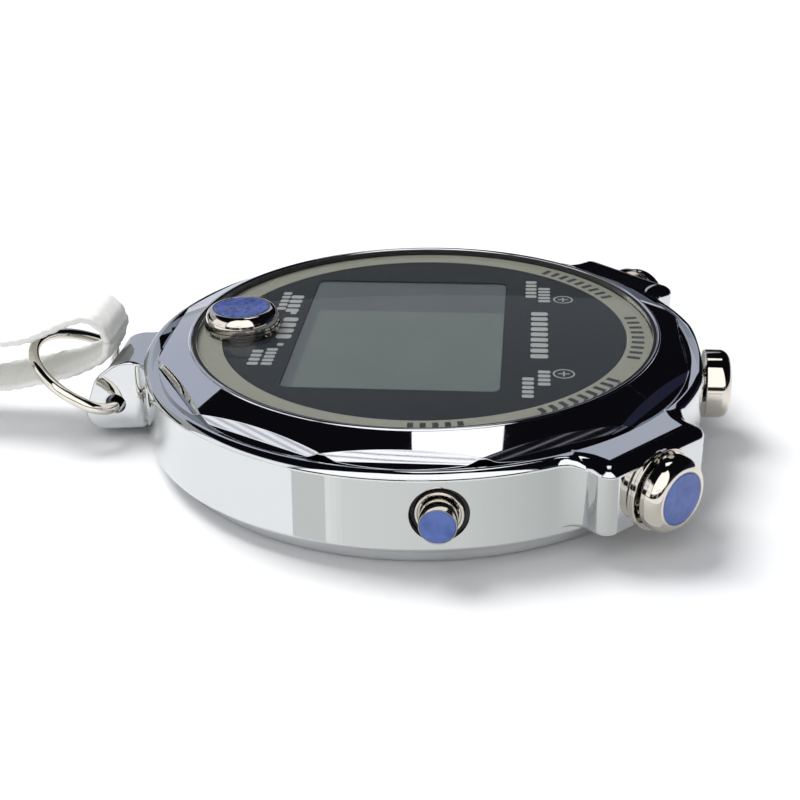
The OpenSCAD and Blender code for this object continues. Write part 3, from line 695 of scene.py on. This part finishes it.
def lug_shape():
    """The lug as one closed skin: its side outline, swollen towards the case, with the ring's hole."""
    half_width, swell, hole_r, hole_round, edge_round = 4.5, 1.5, 1.1, 0.15, 0.35
    rows = np.array([r[:4] for r in rounded(
        [(29.0, 3.0, 0.2), (30.4, 3.0, 0.5), (31.8, 1.2, 1.4), (38.7, 0.7, 1.9), (38.3, 3.6, 2.4),
         (37.0, 7.2, 3.4), (34.0, 9.5, 4.0), (31.0, 9.3, 3.0), (29.0, 9.9, 0.2)],
        closed=True, steps=10)])
    rows = rows[np.linalg.norm(rows[:, :2] - np.roll(rows[:, :2], 1, 0), axis=1) > 1e-4]
    rows = np.vstack([rows, rows[:1]])
    spread = distances(rows[:, :2])
    want = np.linspace(0, spread[-1], 161)[:-1]
    flat, side = (np.column_stack([np.interp(want, spread, rows[:, k]) for k in pair])
                  for pair in ((0, 1), (2, 3)))
    side = unit(side)
    hole = np.array([-HOLE_Y, HOLE_Z])
    toward = unit(flat - hole)
    half = lambda part: half_width + swell * np.clip((32.6 - part[:, 0]) / 2.0, 0, 1) ** 2
    skin = []
    for sign in (-1, 1):
        half_skin = []
        for a in arc(90, 0, 5):
            part = hole + toward * (hole_r + hole_round * (1 - sin(a)))
            half_skin.append((half_width - hole_round * (1 - cos(a)) + 0 * part[:, 0], part))
        for k in range(1, 16):
            t = k / 16
            part = (hole + toward * (hole_r + hole_round)) * (1 - t) + (flat - side * edge_round) * t
            half_skin.append((half(part), part))
        for a in arc(90, 0, 7):
            part = flat - side * edge_round * (1 - cos(a))
            half_skin.append((half(part) - edge_round * (1 - sin(a)), part))
        for x, part in half_skin if sign < 0 else half_skin[::-1]:
            skin.append(np.column_stack([sign * x, -part[:, 0], part[:, 1]]))
    skin = np.array(skin)
    normals = unit(np.cross(np.roll(skin, -1, 1) - np.roll(skin, 1, 1),
                            np.roll(skin, -1, 0) - np.roll(skin, 1, 0)))
    n, m = skin.shape[:2]
    if normals[8, :, 0].mean() > 0:
        normals = -normals
    faces = [face[::-1] for i in range(n) for face in band(i, (i + 1) % n, m)]
    return skin.reshape(-1, 3), faces, normals.reshape(-1, 3)


def make_case():
    holes = []
    for button in SIDE_BUTTONS:
        holes.append(placed(tube(button.hole, 24, button.bore0 + 0.01), side_place(button)))
        holes.append(placed(tube(button.bore, button.bore0, 36), side_place(button)))
    holes.append(placed(tube(LIGHT_SEAL_R, LIGHT_SEAL_FOOT, 36), side_place(SIDE_BUTTONS[-1])))
    shell = cut(case_shell(), *holes)
    piece("case_shell", merged(shell, by_corner(lug_shape())), CHROME, "case", "case_chrome", "case")


# -------- bezel

def smooth_min(a, b, width):
    blend = np.maximum(width - np.abs(a - b), 0) / width
    return np.minimum(a, b) - width * blend ** 2 / 4


def side_height(reach):
    """A sloping side of the bezel: steep under the cone, gentler towards the wall."""
    return -smooth_min(STEEP_SLOPE * (reach - STEEP_AT) - CONE_Z,
                       GENTLE_SLOPE * (reach - GENTLE_AT) - GENTLE_Z, 0.05)


def off_middle(angle):
    """How far an angle lies from the middle of its side of the bezel."""
    return angle - SECTOR * np.round(angle / SECTOR)


def bezel_height(r, angle):
    """The smooth cone, cut by twelve sloping sides that meet at the bezel's corners."""
    cone = CONE_Z - CONE_SLOPE * (r - BEZEL_WALL)
    off = off_middle(angle)
    near, beside = side_height(r * np.cos(off)), side_height(r * np.cos(SECTOR - np.abs(off)))
    return np.maximum(smooth_min(cone, smooth_min(near, beside, 0.05), 0.04), BEZEL_FOOT + 0.02)


def make_bezel():
    angles = np.arange(576) * 2 * pi / 576
    around = np.column_stack([np.cos(angles), np.sin(angles)])
    off = off_middle(angles)
    edge_in, edge_drop = 0.05, 0.06
    last = BEZEL_WALL - edge_in
    rings = []

    def flat_ring(r, z, nr, nz, joined=True):
        r, z, nr, nz = (np.broadcast_to(v, len(angles)) for v in (r, z, nr, nz))
        rings.append((np.column_stack([around * r[:, None], z]),
                      np.column_stack([around * nr[:, None], nz]), joined))

    def top_ring(r):
        e = 1e-4
        r = np.minimum(np.broadcast_to(r, len(angles)), last)
        z = bezel_height(r, angles)
        slope_r = (bezel_height(r + e, angles) - bezel_height(r - e, angles)) / (2 * e)
        slope_t = (bezel_height(r, angles + e) - bezel_height(r, angles - e)) / (2 * e * r)
        normal = np.column_stack([-slope_r * around[:, 0] + slope_t * around[:, 1],
                                  -slope_r * around[:, 1] - slope_t * around[:, 0],
                                  np.ones(len(angles))])
        rings.append((np.column_stack([around * r[:, None], z]), unit(normal), True))

    for row in rounded([(25.3, 11.67), (25.3, 8.8), (28.77, 8.8), (28.77, BEZEL_FOOT),
                        (BEZEL_WALL, BEZEL_FOOT)]):
        flat_ring(*row)
    # the wall up to the edge, the small round over it, then the sloping top inwards
    edge = bezel_height(last, angles)
    flat_ring(BEZEL_WALL, BEZEL_FOOT, 1, 0, False)
    for a in arc(0, 54, 4):
        flat_ring(BEZEL_WALL - edge_in * (1 - cos(a)),
                  np.maximum(edge - edge_drop + edge_drop * sin(a), BEZEL_FOOT + 0.01), cos(a), sin(a))
    # fold is where a side turns from gentle to steep, crease where the steep part meets the cone
    fold = np.minimum(GENTLE_AT / np.cos(off), last)
    crease = ((STEEP_AT * STEEP_SLOPE - CONE_SLOPE * BEZEL_WALL)
              / (STEEP_SLOPE * np.cos(off) - CONE_SLOPE))
    for part in (0.0, 0.5, 1.0):
        top_ring(last + (np.minimum(fold + 0.05, last) - last) * part)
    for step in (0.025, 0.0, -0.025, -0.05):
        top_ring(fold + step)
    for part in (0.35, 0.7):
        top_ring(fold - 0.05 + (np.minimum(crease + 0.05, fold - 0.05) - fold + 0.05) * part)
    for step in (0.05, 0.025, 0.0, -0.025, -0.05):
        top_ring(crease + step)
    inner = np.minimum(crease - 0.06, 29.3)
    for part in (0.15, 0.35, 0.55, 0.75, 0.9):
        top_ring(inner + (LIP_R - inner) * part)
    top_ring(LIP_R)
    # the raised lip round the lens
    flat_ring(26.07, 12.63, 0.5, 0.86)
    for a in arc(20, 180, 9):
        flat_ring(25.82 + 0.22 * cos(a), 12.58 + 0.22 * sin(a), cos(a), sin(a))
    for row in ((25.6, 12.58, -1, 0, False), (25.6, 11.67, -1, 0), (25.6, 11.67, 0, 1, False),
                (25.3, 11.67, 0, 1)):
        flat_ring(*row)
    piece("bezel_ring", loft(rings), BEZEL_CHROME, "case", "case_chrome", "bezel")


# -------- dial and lens

def make_face():
    gap = 0.03
    lens_hole = placed(tube(MODE_HOLE, 11, 14), MODE_PLACE)
    lens = piece("lens_disc", cut(tube(LENS_R, LENS_BOTTOM, LENS_TOP, 0.15, 192), lens_hole), GLASS,
                 "case", "clear_lens", "lens")
    lens.visible_shadow = lens.visible_diffuse = False
    piece("lens_seal", hoop(LENS_R + gap, GASKET_R, 11.71, 12.66, 0.08, 192), RUBBER, "case",
          "black_rubber", "lens_gasket")
    window = rounded_box((-15.45, -13.9, 10), (15.45, 8.9, 13), 1.0)
    mode_hole = placed(tube(MODE_HOLE, 10, 13), MODE_PLACE)
    dial = tube(DIAL_R, DIAL_BOTTOM, DIAL_TOP, 0.05, 192)
    piece("dial_plate", cut(dial, window, mode_hole), DIAL, "case", "dial_print", "dial")
    chapter = hoop(DIAL_R + gap, CHAPTER_R, DIAL_BOTTOM, DIAL_TOP, 0.05, 192)
    piece("chapter_plate", cut(chapter, mode_hole), CHAPTER, "case", "chapter_print", "chapter_ring")


def mark(x0, y0, x1, y1):
    """A flat printed bar with round ends."""
    return rounded_box((x0, y0, DIAL_TOP + MARK_LOW), (x1, y1, DIAL_TOP + MARK_HIGH),
                       min(x1 - x0, y1 - y0) * 0.3)


def row_of_marks(x0, y0, x1, y1, count):
    step = (x1 - x0) / count
    return [mark(x0 + step * k, y0, x0 + step * (k + 0.7), y1) for k in range(count)]


def round_mark(x, y, radius, thick):
    return placed(hoop(radius - thick, radius, MARK_LOW, MARK_HIGH, turns=40),
                  Matrix.Translation((x, y, DIAL_TOP)))


def make_marks():
    shapes = []
    for box_and_count in ((-6.2, 11.9, 7.3, 13.8, 9), (10.0, 12.7, 14.0, 14.0, 4),
                          (11.8, 11.1, 17.0, 12.3, 5), (-14.0, 12.7, -9.1, 14.1, 5),
                          (-16.2, 11.2, -10.4, 12.5, 5), (-3.2, -16.3, 3.4, -14.6, 4),
                          (-10.1, -16.5, -4.5, -15.0, 4), (-11.1, -17.6, -5.2, -16.6, 5),
                          (5.7, -16.7, 10.4, -15.5, 5), (6.2, -18.2, 10.5, -17.0, 4)):
        shapes += row_of_marks(*box_and_count)
    for x, y in ((10.7, 15.4), (-10.3, 15.6)):
        shapes += [round_mark(x, y, 1.15, 0.17), mark(x - 0.6, y - 0.09, x + 0.6, y + 0.09),
                   mark(x - 0.09, y - 0.6, x + 0.09, y + 0.6)]
    for x in (-4.6, 4.6):
        shapes.append(mark(x - 0.35, -15.8, x + 0.35, -15.1))
    piece("dial_marks", merged(*shapes), PRINT, "case", "dial_print")
    bar = rounded_box((22.95, -0.3, DIAL_TOP + MARK_LOW), (24.35, 0.3, DIAL_TOP + MARK_HIGH), 0.12)
    shapes = []
    for first, last, step in ((75, 103, 3.4), (34, 61, 3.2), (1, 13, 3.0), (119, 146, 3.2)):
        angle = first
        while angle <= last:
            shapes.append(placed(bar, Matrix.Rotation(radians(angle), 4, "Z")))
            angle += step
    piece("chapter_marks", merged(*shapes), DARK_PRINT, "case", "chapter_print")


# -------- buttons

def arc_over(r_out, r_flat, top, high, steps=12):
    """Rows of a quarter ellipse from the side of a head to its flat end."""
    rows, wide = [], r_out - r_flat
    for k in range(steps + 1):
        a = pi / 2 * k / steps
        normal = unit(np.array([cos(a) * high, sin(a) * wide]))
        rows.append((r_flat + wide * cos(a), top - high + high * sin(a), *normal, True))
    return rows


def side_button(b):
    """Head and stem with two grooves, cap, and the sleeve in the case."""
    place = side_place(b)
    neck, cap_sunk = b.stem - 0.35, b.head1 - 0.5
    rows = rounded([(0, 26.7), (b.stem, 26.7, 0.12), (b.stem, 27.1), (neck, 27.1), (neck, 27.5),
                    (b.stem, 27.5), (b.stem, 28.05), (neck, 28.05), (neck, 28.65), (b.stem, 28.65),
                    (b.stem, b.head0, 0.06), (b.head, b.head0, 0.12), (b.head, b.head0 + 0.3)], steps=4)
    if b.cap:
        rows += arc_over(b.head, b.cap + 0.08, b.head1, min(b.head1 - b.head0 - 0.5, 1.9))
        rows += rounded([(b.cap + 0.05, b.head1), (b.cap, b.head1, 0.03), (b.cap, cap_sunk),
                         (0, cap_sunk)])
        cap = rounded([(0, cap_sunk), (b.cap - 0.005, cap_sunk), (b.cap - 0.005, b.head1 + 0.03, 0.16),
                       (0, b.head1 + 0.1)], steps=5)
        piece(b.name + "_cap_face", placed(lathe(cap, 96), place), PALE_BLUE, b.name, "blue_cap",
              b.name + "_cap")
    else:
        rows += arc_over(b.head, b.head - 1.15, b.head1 - 0.06, 1.15)
        rows.append((0, b.head1, 0, 1, True))
    piece(b.name + "_head", placed(lathe(rows, 128), place), NICKEL, b.name, "button_nickel",
          b.name + "_button")

    pocket = b.head + 0.19 if b.head < b.bore - 0.3 else b.bore - 0.45
    points = [(b.stem + 0.04, 27.75), (b.stem + 0.7, 27.75, 0.08), (b.stem + 0.7, b.bore0),
              (b.bore, b.bore0)]
    if b.cup:
        points += [(b.bore, b.face), (b.cup, b.face, 0.04), (b.cup, b.face + 0.4, 0.1),
                   (b.head + 0.08, b.face + 0.4, 0.05), (b.head + 0.08, b.face + 0.15),
                   (pocket, b.face + 0.15, 0.08)]
    else:
        points += [(b.bore, b.face + 0.02, 0.12), (pocket, b.face + 0.02, 0.12)]
    points += [(pocket, b.head0 - 1.7), (b.stem + 0.04, b.head0 - 1.7)]
    piece(b.name + "_collar", placed(lathe(closed_rows(points, 4), 128), place), NICKEL, "case",
          "button_nickel", b.name + "_sleeve")


def make_buttons():
    liner = hoop(2.38, LIGHT_SEAL_R - 0.02, LIGHT_SEAL_FOOT + 0.02, 30.35, 0.1)
    piece("light_gap_seal", placed(liner, side_place(SIDE_BUTTONS[-1])), RUBBER, "case", "black_rubber")
    for button in SIDE_BUTTONS:
        side_button(button)
    stem, neck, head1 = 1.2, 0.9, 14.5
    rows = rounded([(0, 7.65), (stem, 7.65, 0.1), (stem, 8.1), (neck, 8.1), (neck, 8.45), (stem, 8.45),
                    (stem, 8.95), (neck, 8.95), (neck, 9.45), (stem, 9.45), (stem, 11.65),
                    (3.75, 11.65)], steps=5)
    rows += [(3.6 + 0.55 * cos(a), 12.2 + 0.55 * sin(a), cos(a), sin(a), k > 0)
             for k, a in enumerate(arc(-75, 0, 9))]
    rows += arc_over(4.15, 3.23, head1, 1.6)
    rows += rounded([(3.2, head1), (3.15, head1, 0.03), (3.15, 14.0), (0, 14.0)])
    piece("mode_head", placed(lathe(rows, 128), MODE_PLACE), NICKEL, "mode", "button_nickel",
          "mode_button")
    cap = rounded([(0, 14.0), (3.145, 14.0), (3.145, 14.53, 0.18), (0, 14.6)], steps=5)
    piece("mode_cap_face", placed(lathe(cap, 128), MODE_PLACE), BLUE, "mode", "blue_cap", "mode_cap")


def make_spring(name, place, radius, low, high):
    """A button's coil spring."""
    wire_r, turns, steps = 0.16, 4, 192
    path, out = [], []
    for k in range(steps + 1):
        a = 2 * pi * turns * k / steps
        out.append((cos(a), sin(a), 0))
        path.append((radius * cos(a), radius * sin(a),
                     low + wire_r + (high - low - 2 * wire_r) * k / steps))
    coil = piece(name + "_coil", placed(sweep(path, disc(wire_r, 12), out), place), SPRING_STEEL,
                 "case", "spring_steel", name + "_spring")
    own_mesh(coil)


def make_springs():
    for button in SIDE_BUTTONS:
        make_spring(button.name, side_place(button), button.coil, button.head0 - 1.68,
                    button.head0 - 0.02)
    make_spring("mode", MODE_PLACE, 2.2, 9.72, 11.63)


# -------- ring and lanyard

def make_ring():
    """Round wire bent to a D: straight through the lug, then a wide bow."""
    turn = lambda x, y, radius, angles: [(x + radius * cos(a), y + radius * sin(a)) for a in angles]
    flat = [(RING_HALF - 2 * RING_HALF * k / 12, 0) for k in range(13)]
    flat += turn(-RING_HALF, RING_CORNER, RING_CORNER, arc(-90, -180, 13)[1:])
    flat += turn(0, 3.6, RING_BOW, arc(180, 0, 61)[1:-1])
    flat += turn(RING_HALF, RING_CORNER, RING_CORNER, arc(0, -90, 13)[:-1])
    c, s = cos(radians(RING_TILT)), sin(radians(RING_TILT))
    path = np.array([(x, HOLE_Y - w * c, HOLE_Z + w * s) for x, w in flat])
    shape = sweep(path, disc(WIRE, 28), np.tile([0.0, s, c], (len(path), 1)), closed=True)
    piece("wire_ring", shape, RING_NICKEL, "ring", "ring_nickel", "split_ring")


def hank_route():
    """The six runs of the folded strap, from the upper leg round to the lower leg."""
    start, near, far, last = -66, -69.5, -182.0, -177.5
    half, outer = PITCH / 2, PITCH * 2.5
    route = []

    def run(x, y0, y1):
        route.extend((x, y0 + (y1 - y0) * k / 12) for k in range(1, 12))

    def turn(cx, cy, radius, a0, a1, steps=9):
        route.extend((cx + radius * cos(a), cy + radius * sin(a)) for a in arc(a0, a1, steps + 1))

    run(-half, start, far)
    turn(-PITCH, far, half, 0, -180)
    run(-3 * half, far, near)
    turn(-2 * PITCH, near, half, 0, 180)
    run(-outer, near, last)
    way_back = [(-x, y) for x, y in reversed(route)]
    turn(0, last, outer, -180, 0, 18)
    route += way_back
    pinched = []
    for x, y in route:
        t = min(abs(y - TIE_Y) / 30, 1)
        loose = t * t * (3 - 2 * t)
        pitch = TIED_PITCH + (PITCH - TIED_PITCH) * loose
        sway = 0.5 * sin(y / 23.0) * loose
        pinched.append((x / PITCH * pitch + sway, y, HANK_Z, 90))
    return pinched


def spline(rows, spacing):
    """Points evenly spaced along a smooth curve through rows, each number treated alike."""
    rows = np.array(rows, float)
    gaps = np.sqrt(np.linalg.norm(np.diff(rows[:, :3], axis=0), axis=1))
    slopes = np.zeros_like(rows)
    slopes[0], slopes[-1] = (rows[1] - rows[0]) / gaps[0], (rows[-1] - rows[-2]) / gaps[-1]
    for i in range(1, len(rows) - 1):
        h0, h1 = gaps[i - 1], gaps[i]
        slopes[i] = ((rows[i] - rows[i - 1]) / h0 * h1 + (rows[i + 1] - rows[i]) / h1 * h0) / (h0 + h1)
    t = np.linspace(0, 1, 60, endpoint=False)[:, None]
    fine = [(2 * t**3 - 3 * t**2 + 1) * rows[i] + (t**3 - 2 * t**2 + t) * h * slopes[i]
            + (-2 * t**3 + 3 * t**2) * rows[i + 1] + (t**3 - t**2) * h * slopes[i + 1]
            for i, h in enumerate(gaps)]
    fine = np.vstack(fine + [rows[-1:]])
    steps = distances(fine[:, :3])
    want = np.linspace(0, steps[-1], int(round(steps[-1] / spacing)) + 1)
    return np.column_stack([np.interp(want, steps, fine[:, k]) for k in range(4)]), steps[-1]


def strap_relief(along, across):
    """Height of the woven surface: columns of small slanted stitches."""
    column = across + 0.5
    side = column - np.floor(column) - 0.5
    flip = np.where(np.floor(column) % 2 == 0, 1, -1)
    stitch = 0.5 + 0.5 * np.cos(2 * np.pi * (along / 1.45 + flip * side * 0.5))
    valley = 1 - (2 * np.abs(side)) ** 3
    return 0.22 * valley * (0.3 + 0.7 * stitch)


def make_lanyard():
    """The strap along its whole route, with the route and its length."""
    upper, lower = FOLD[BIGHT::-1], FOLD[:BIGHT - 1:-1]
    rows, length = spline(upper + hank_route() + lower, STRAP_STEP)
    ahead = unit(np.gradient(rows[:, :3], axis=0))
    lean = np.radians(rows[:, 3])
    wide = np.column_stack([np.cos(lean), np.zeros(len(lean)), np.sin(lean)])
    wide = unit(wide - ahead * (wide * ahead).sum(1)[:, None])
    thick = np.cross(ahead, wide)
    across = np.sin(np.linspace(-pi / 2, pi / 2, 25) * 0.9) / sin(0.45 * pi)
    across *= STRAP_W / 2
    through = (STRAP_T / 2 - 0.06) * np.sqrt(1 - np.abs(across / (STRAP_W / 2)) ** 5 * 0.97)
    along = np.arange(len(rows)) * length / (len(rows) - 1)
    grid_s, grid_a = np.meshgrid(along, across, indexing="ij")
    middle = rows[:, None, :3] + grid_a[..., None] * wide[:, None]

    def surface(sign, shift):
        height = through[None] + strap_relief(grid_s + shift, grid_a) - 0.05
        return middle + sign * height[..., None] * thick[:, None]

    section = np.concatenate([surface(-1, 0.7), surface(1, 0)[:, ::-1]], axis=1)
    n, m = section.shape[:2]
    faces = [face for i in range(n - 1) for face in band(i, i + 1, m)]
    faces += [list(range(m))[::-1], list(range((n - 1) * m, n * m))]
    strap = build("lanyard_weave", section.reshape(-1, 3), faces, material=WEAVE)
    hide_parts("lanyard_strap", "lanyard_hank")
    return strap, rows[::8, :3], length


def make_tie():
    """A coated wire wound twice round the hank, its ends twisted together."""
    half_x, half_z, squareness = 5.0, 4.7, 0.45
    path = []
    for k in range(97):
        a = 2 * pi * k / 48
        c, s = cos(a), sin(a)
        x = half_x * np.sign(c) * abs(c) ** squareness
        z = HANK_Z + half_z * np.sign(s) * abs(s) ** squareness
        path.append((x, TIE_Y - 1.6 + 3.2 * k / 96, max(z, 0.5)))
    shapes = [sweep(path, disc(0.5, 12), [(0, 1, 0)] * len(path))]
    for side in (0, pi):
        path = []
        for k in range(49):
            t = k / 48
            a = side + t * 5 * 2 * pi
            path.append((5.2 + 1.6 * t, TIE_Y + 0.48 * cos(a), 2.2 + 0.48 * sin(a) + 0.3 * t))
        shapes.append(sweep(path, disc(0.42, 10), [(0, 0, 1)] * len(path)))
    return piece("tie_wrap", merged(*shapes), TIE, "case", "tie_wire", "lanyard_tie")


# -------- back and carried-over parts

def make_back():
    rows = rounded([(0, 0), (29.4, 0, 0.7), (29.4, 1.96, 0.08), (25.95, 1.96), (25.95, 2.2),
                    (25.25, 2.2), (25.25, 2.9), (25.95, 2.9), (25.95, 3.4, 0.1), (24.35, 3.4, 0.1),
                    (24.35, 1.0), (0, 1.0)])
    holes = []
    for k in range(4):
        place = Matrix.Rotation(radians(22.5 + 90 * k), 4, "Z") @ Matrix.Translation((27.6, 0, 0))
        holes += [placed(tube(0.75, -1, 4), place), placed(tube(1.35, -1, 0.7), place)]
    piece("cover_plate", cut(lathe(rows, 192), *holes), COVER_STEEL, "case", "case_chrome",
          "back_cover")


def dress():
    """Gives the CAD nodes that show as they are their own materials."""
    finishes = {
        "lcd_cell": LCD, "lcd_backlight": DIFFUSER, "zebra_strips": ZEBRA, "module_frame": FRAME,
        "circuit_board": BOARD, "tact_switches": SWITCH, "chip_and_crystal": RESIN,
        "module_screws": SCREW_STEEL, "battery": CELL_STEEL, "battery_clip": CONTACT,
        "battery_insulator": FILM, "sounder_disc": BRASS, "sounder_spring": SPRING_STEEL,
        "back_gasket": RUBBER, "back_screws": SCREW_STEEL, "mode_sleeve": NICKEL, "mode_seal": RUBBER,
        "mode_clip": SPRING_STEEL}
    for button in SIDE_BUTTONS:
        finishes.update({button.name + "_seal": RUBBER, button.name + "_clip": SPRING_STEEL})
    for name, finish in finishes.items():
        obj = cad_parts[name]
        if not obj.data.materials:
            obj.data.materials.append(finish)
        for slot in obj.material_slots:
            slot.material = finish


# -------- camera, stage and light

def make_camera():
    """The picture's viewpoint, found by matching points of the case to the CAD."""
    target, distance = Vector((18.80, -0.97, 12.4)), 139.5
    azimuth, elevation, roll = radians(5.61), radians(25.46), radians(-1.02)
    back = Vector((cos(azimuth) * cos(elevation), sin(azimuth) * cos(elevation), sin(elevation)))
    right = (-back).cross(Vector((0, 0, 1))).normalized()
    up = right.cross(-back)
    side = cos(roll) * right + sin(roll) * up
    top = -sin(roll) * right + cos(roll) * up
    camera = bpy.data.objects.new("camera", bpy.data.cameras.new("camera"))
    bpy.context.scene.collection.objects.link(camera)
    camera.matrix_world = Matrix.Translation((target + back * distance) * MM) @ Matrix(
        (side, top, back)).transposed().to_4x4()
    camera.data.lens, camera.data.sensor_width = 63, 36
    camera.data.clip_start, camera.data.clip_end = 0.005, 20
    bpy.context.scene.camera = camera


def glow_patch(name, points, faces, colour):
    """A glowing surface of the stage that only reflections see."""
    mat = bpy.data.materials.new(name)
    mat.use_nodes = True
    mat.node_tree.nodes.remove(shader(mat))
    glow = node(mat, "ShaderNodeEmission", Color=(*colour, 1))
    wire(mat, glow.outputs[0], mat.node_tree.nodes["Material Output"].inputs["Surface"])
    patch = build(name, points, faces, material=mat)
    patch.visible_camera = patch.visible_diffuse = patch.visible_transmission = False
    patch.visible_shadow = patch.visible_volume_scatter = False


def floor_patch(name, corners, colour):
    glow_patch(name, [(x, y, 0.2) for x, y in corners], [[0, 1, 2, 3]], colour)


def wall_patch(name, first, last, colour):
    """A glowing patch over the piece of floor in front of the case that its wall shows the camera
    between two angles: a painted reflection of that floor.
    """
    corners = []
    for angle, outs in ((first, (2.5, 30)), (last, (30, 2.5))):
        at, away = radians(angle), radians(2.15 * angle - 5.5)
        corners += [(CASE_R * cos(at) + d * cos(away), CASE_R * sin(at) + d * sin(away)) for d in outs]
    floor_patch(name, corners, colour)


def shell_patch(name, azimuths, elevations, radius, colour):
    """A piece of a sphere round the object, between two azimuths and two elevations."""
    across, high = (max(2, int(abs(last - first) / 4)) for first, last in (azimuths, elevations))
    points = [(radius * cos(e) * cos(a), radius * cos(e) * sin(a), radius * sin(e))
              for e in arc(*elevations, high + 1) for a in arc(*azimuths, across + 1)]
    faces = [face for j in range(high) for face in band(j, j + 1, across + 1)[:-1]]
    glow_patch(name, points, faces, colour)


def make_stage():
    mat, wide = speckled("floor_paper", (0.86, 0.865, 0.875), 0.01, 0.75, 30.0), 6000
    floor = build("floor", [(-wide, -wide, 0), (wide, -wide, 0), (wide, wide, 0), (-wide, wide, 0)],
                  [[0, 1, 2, 3]], material=mat)
    world = bpy.data.worlds.new("studio")
    bpy.context.scene.world = world
    world.use_nodes = True
    sky = world.node_tree.nodes["Background"]
    sky.inputs["Color"].default_value = (0.82, 0.83, 0.85, 1)
    sky.inputs["Strength"].default_value = 0.52
    for name, place, size, power in (("key", (-0.28, -0.44, 0.85), 0.50, 9.8),
                                     ("fill", (0.7, -0.3, 0.9), 0.8, 2.5)):
        light = bpy.data.lights.new(name, "AREA")
        light.size, light.energy = size, power
        lamp = bpy.data.objects.new(name, light)
        bpy.context.scene.collection.objects.link(lamp)
        lamp.location = place
        lamp.rotation_euler = (-Vector(place)).to_track_quat("-Z", "Y").to_euler()
        lamp.visible_glossy = False

    black, white = (0.004, 0.004, 0.006), (1.45, 1.45, 1.46)
    patches = [("overhead", (0, 360), (38, 90), 620, black),
               ("softbox", (-42, 44), (13, 76), 600, white),
               ("left_panel", (-92, -46), (3, 34), 600, (1.15, 1.16, 1.18)),
               ("back_window", (150, 192), (61, 77), 600, white),
               ("back_left", (168, 240), (3, 38), 620, (0.50, 0.53, 0.62)),
               ("left_black", (225, 262), (0.3, 13), 610, black),
               ("far_black", (138, 184), (1, 12), 600, black),
               ("far_black_high", (138, 200), (12, 22), 600, black),
               ("right_black", (46, 168), (4, 38), 612, black),
               ("right_blue", (88, 137), (0.3, 14), 606, (0.018, 0.02, 0.04))]
    for k in range(20):
        for name, azimuths, low, step, thick, colour in (
                ("soft_line_%d", (-15, 7), 18.5, 0.25, 0.06, (0.10, 0.10, 0.11)),
                ("left_line_%d", (-76, -56), 10, 0.3, 0.13, (0.55, 0.56, 0.6)),
                ("right_line_%d", (48, 68), 13, 0.35, 0.07, (0.22, 0.22, 0.25))):
            start = low + step * k
            patches.append((name % k, azimuths, (start, start + thick), 596, colour))
    for k, (a0, a1, top) in enumerate(((-44, -32, 12), (-32, -24, 6), (-24, -12, 9), (-12, -2, 11),
                                       (6, 20, 11), (20, 30, 7), (30, 42, 12))):
        patches.append(("low_thing_%d" % k, (a0, a1), (0.3, top), 590, (0.03, 0.020, 0.014)))
    for patch in patches:
        shell_patch(*patch)
    # painted reflections in the wall: a darker strip of floor, then the floor in front, its tone
    # falling towards the right as painted shade
    wall_patch("dark_floor_reflection", -20.0, -13.5, (0.76, 0.77, 0.76))
    for k in range(48):
        tone = float(np.interp(k, (0, 3, 24, 40, 48), (1.0, 0.88, 0.80, 0.64, 0.62)))
        wall_patch("floor_shade_reflection_%d" % k, k - 13.5, k - 12.5, (tone, tone * 1.02, tone))
    floor_patch("far_left", ((-60, -20), (-600, -10), (-600, -350), (-90, -90)), (0.70, 0.73, 0.80))
    floor_patch("far_right", ((-55, 20), (-55, 90), (-600, 400), (-600, 20)), (0.10, 0.11, 0.14))
    floor_patch("far_dark", ((-200, -320), (-25, -320), (-25, -95), (-200, -95)), black)
    bpy.context.scene.view_settings.view_transform = "Standard"


make_camera()
strap, strap_path, strap_length = make_lanyard()
tie = make_tie()
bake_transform(strap)
make_case()
make_bezel()
make_face()
make_marks()
make_buttons()
make_springs()
make_ring()
make_back()
dress()
make_stage()
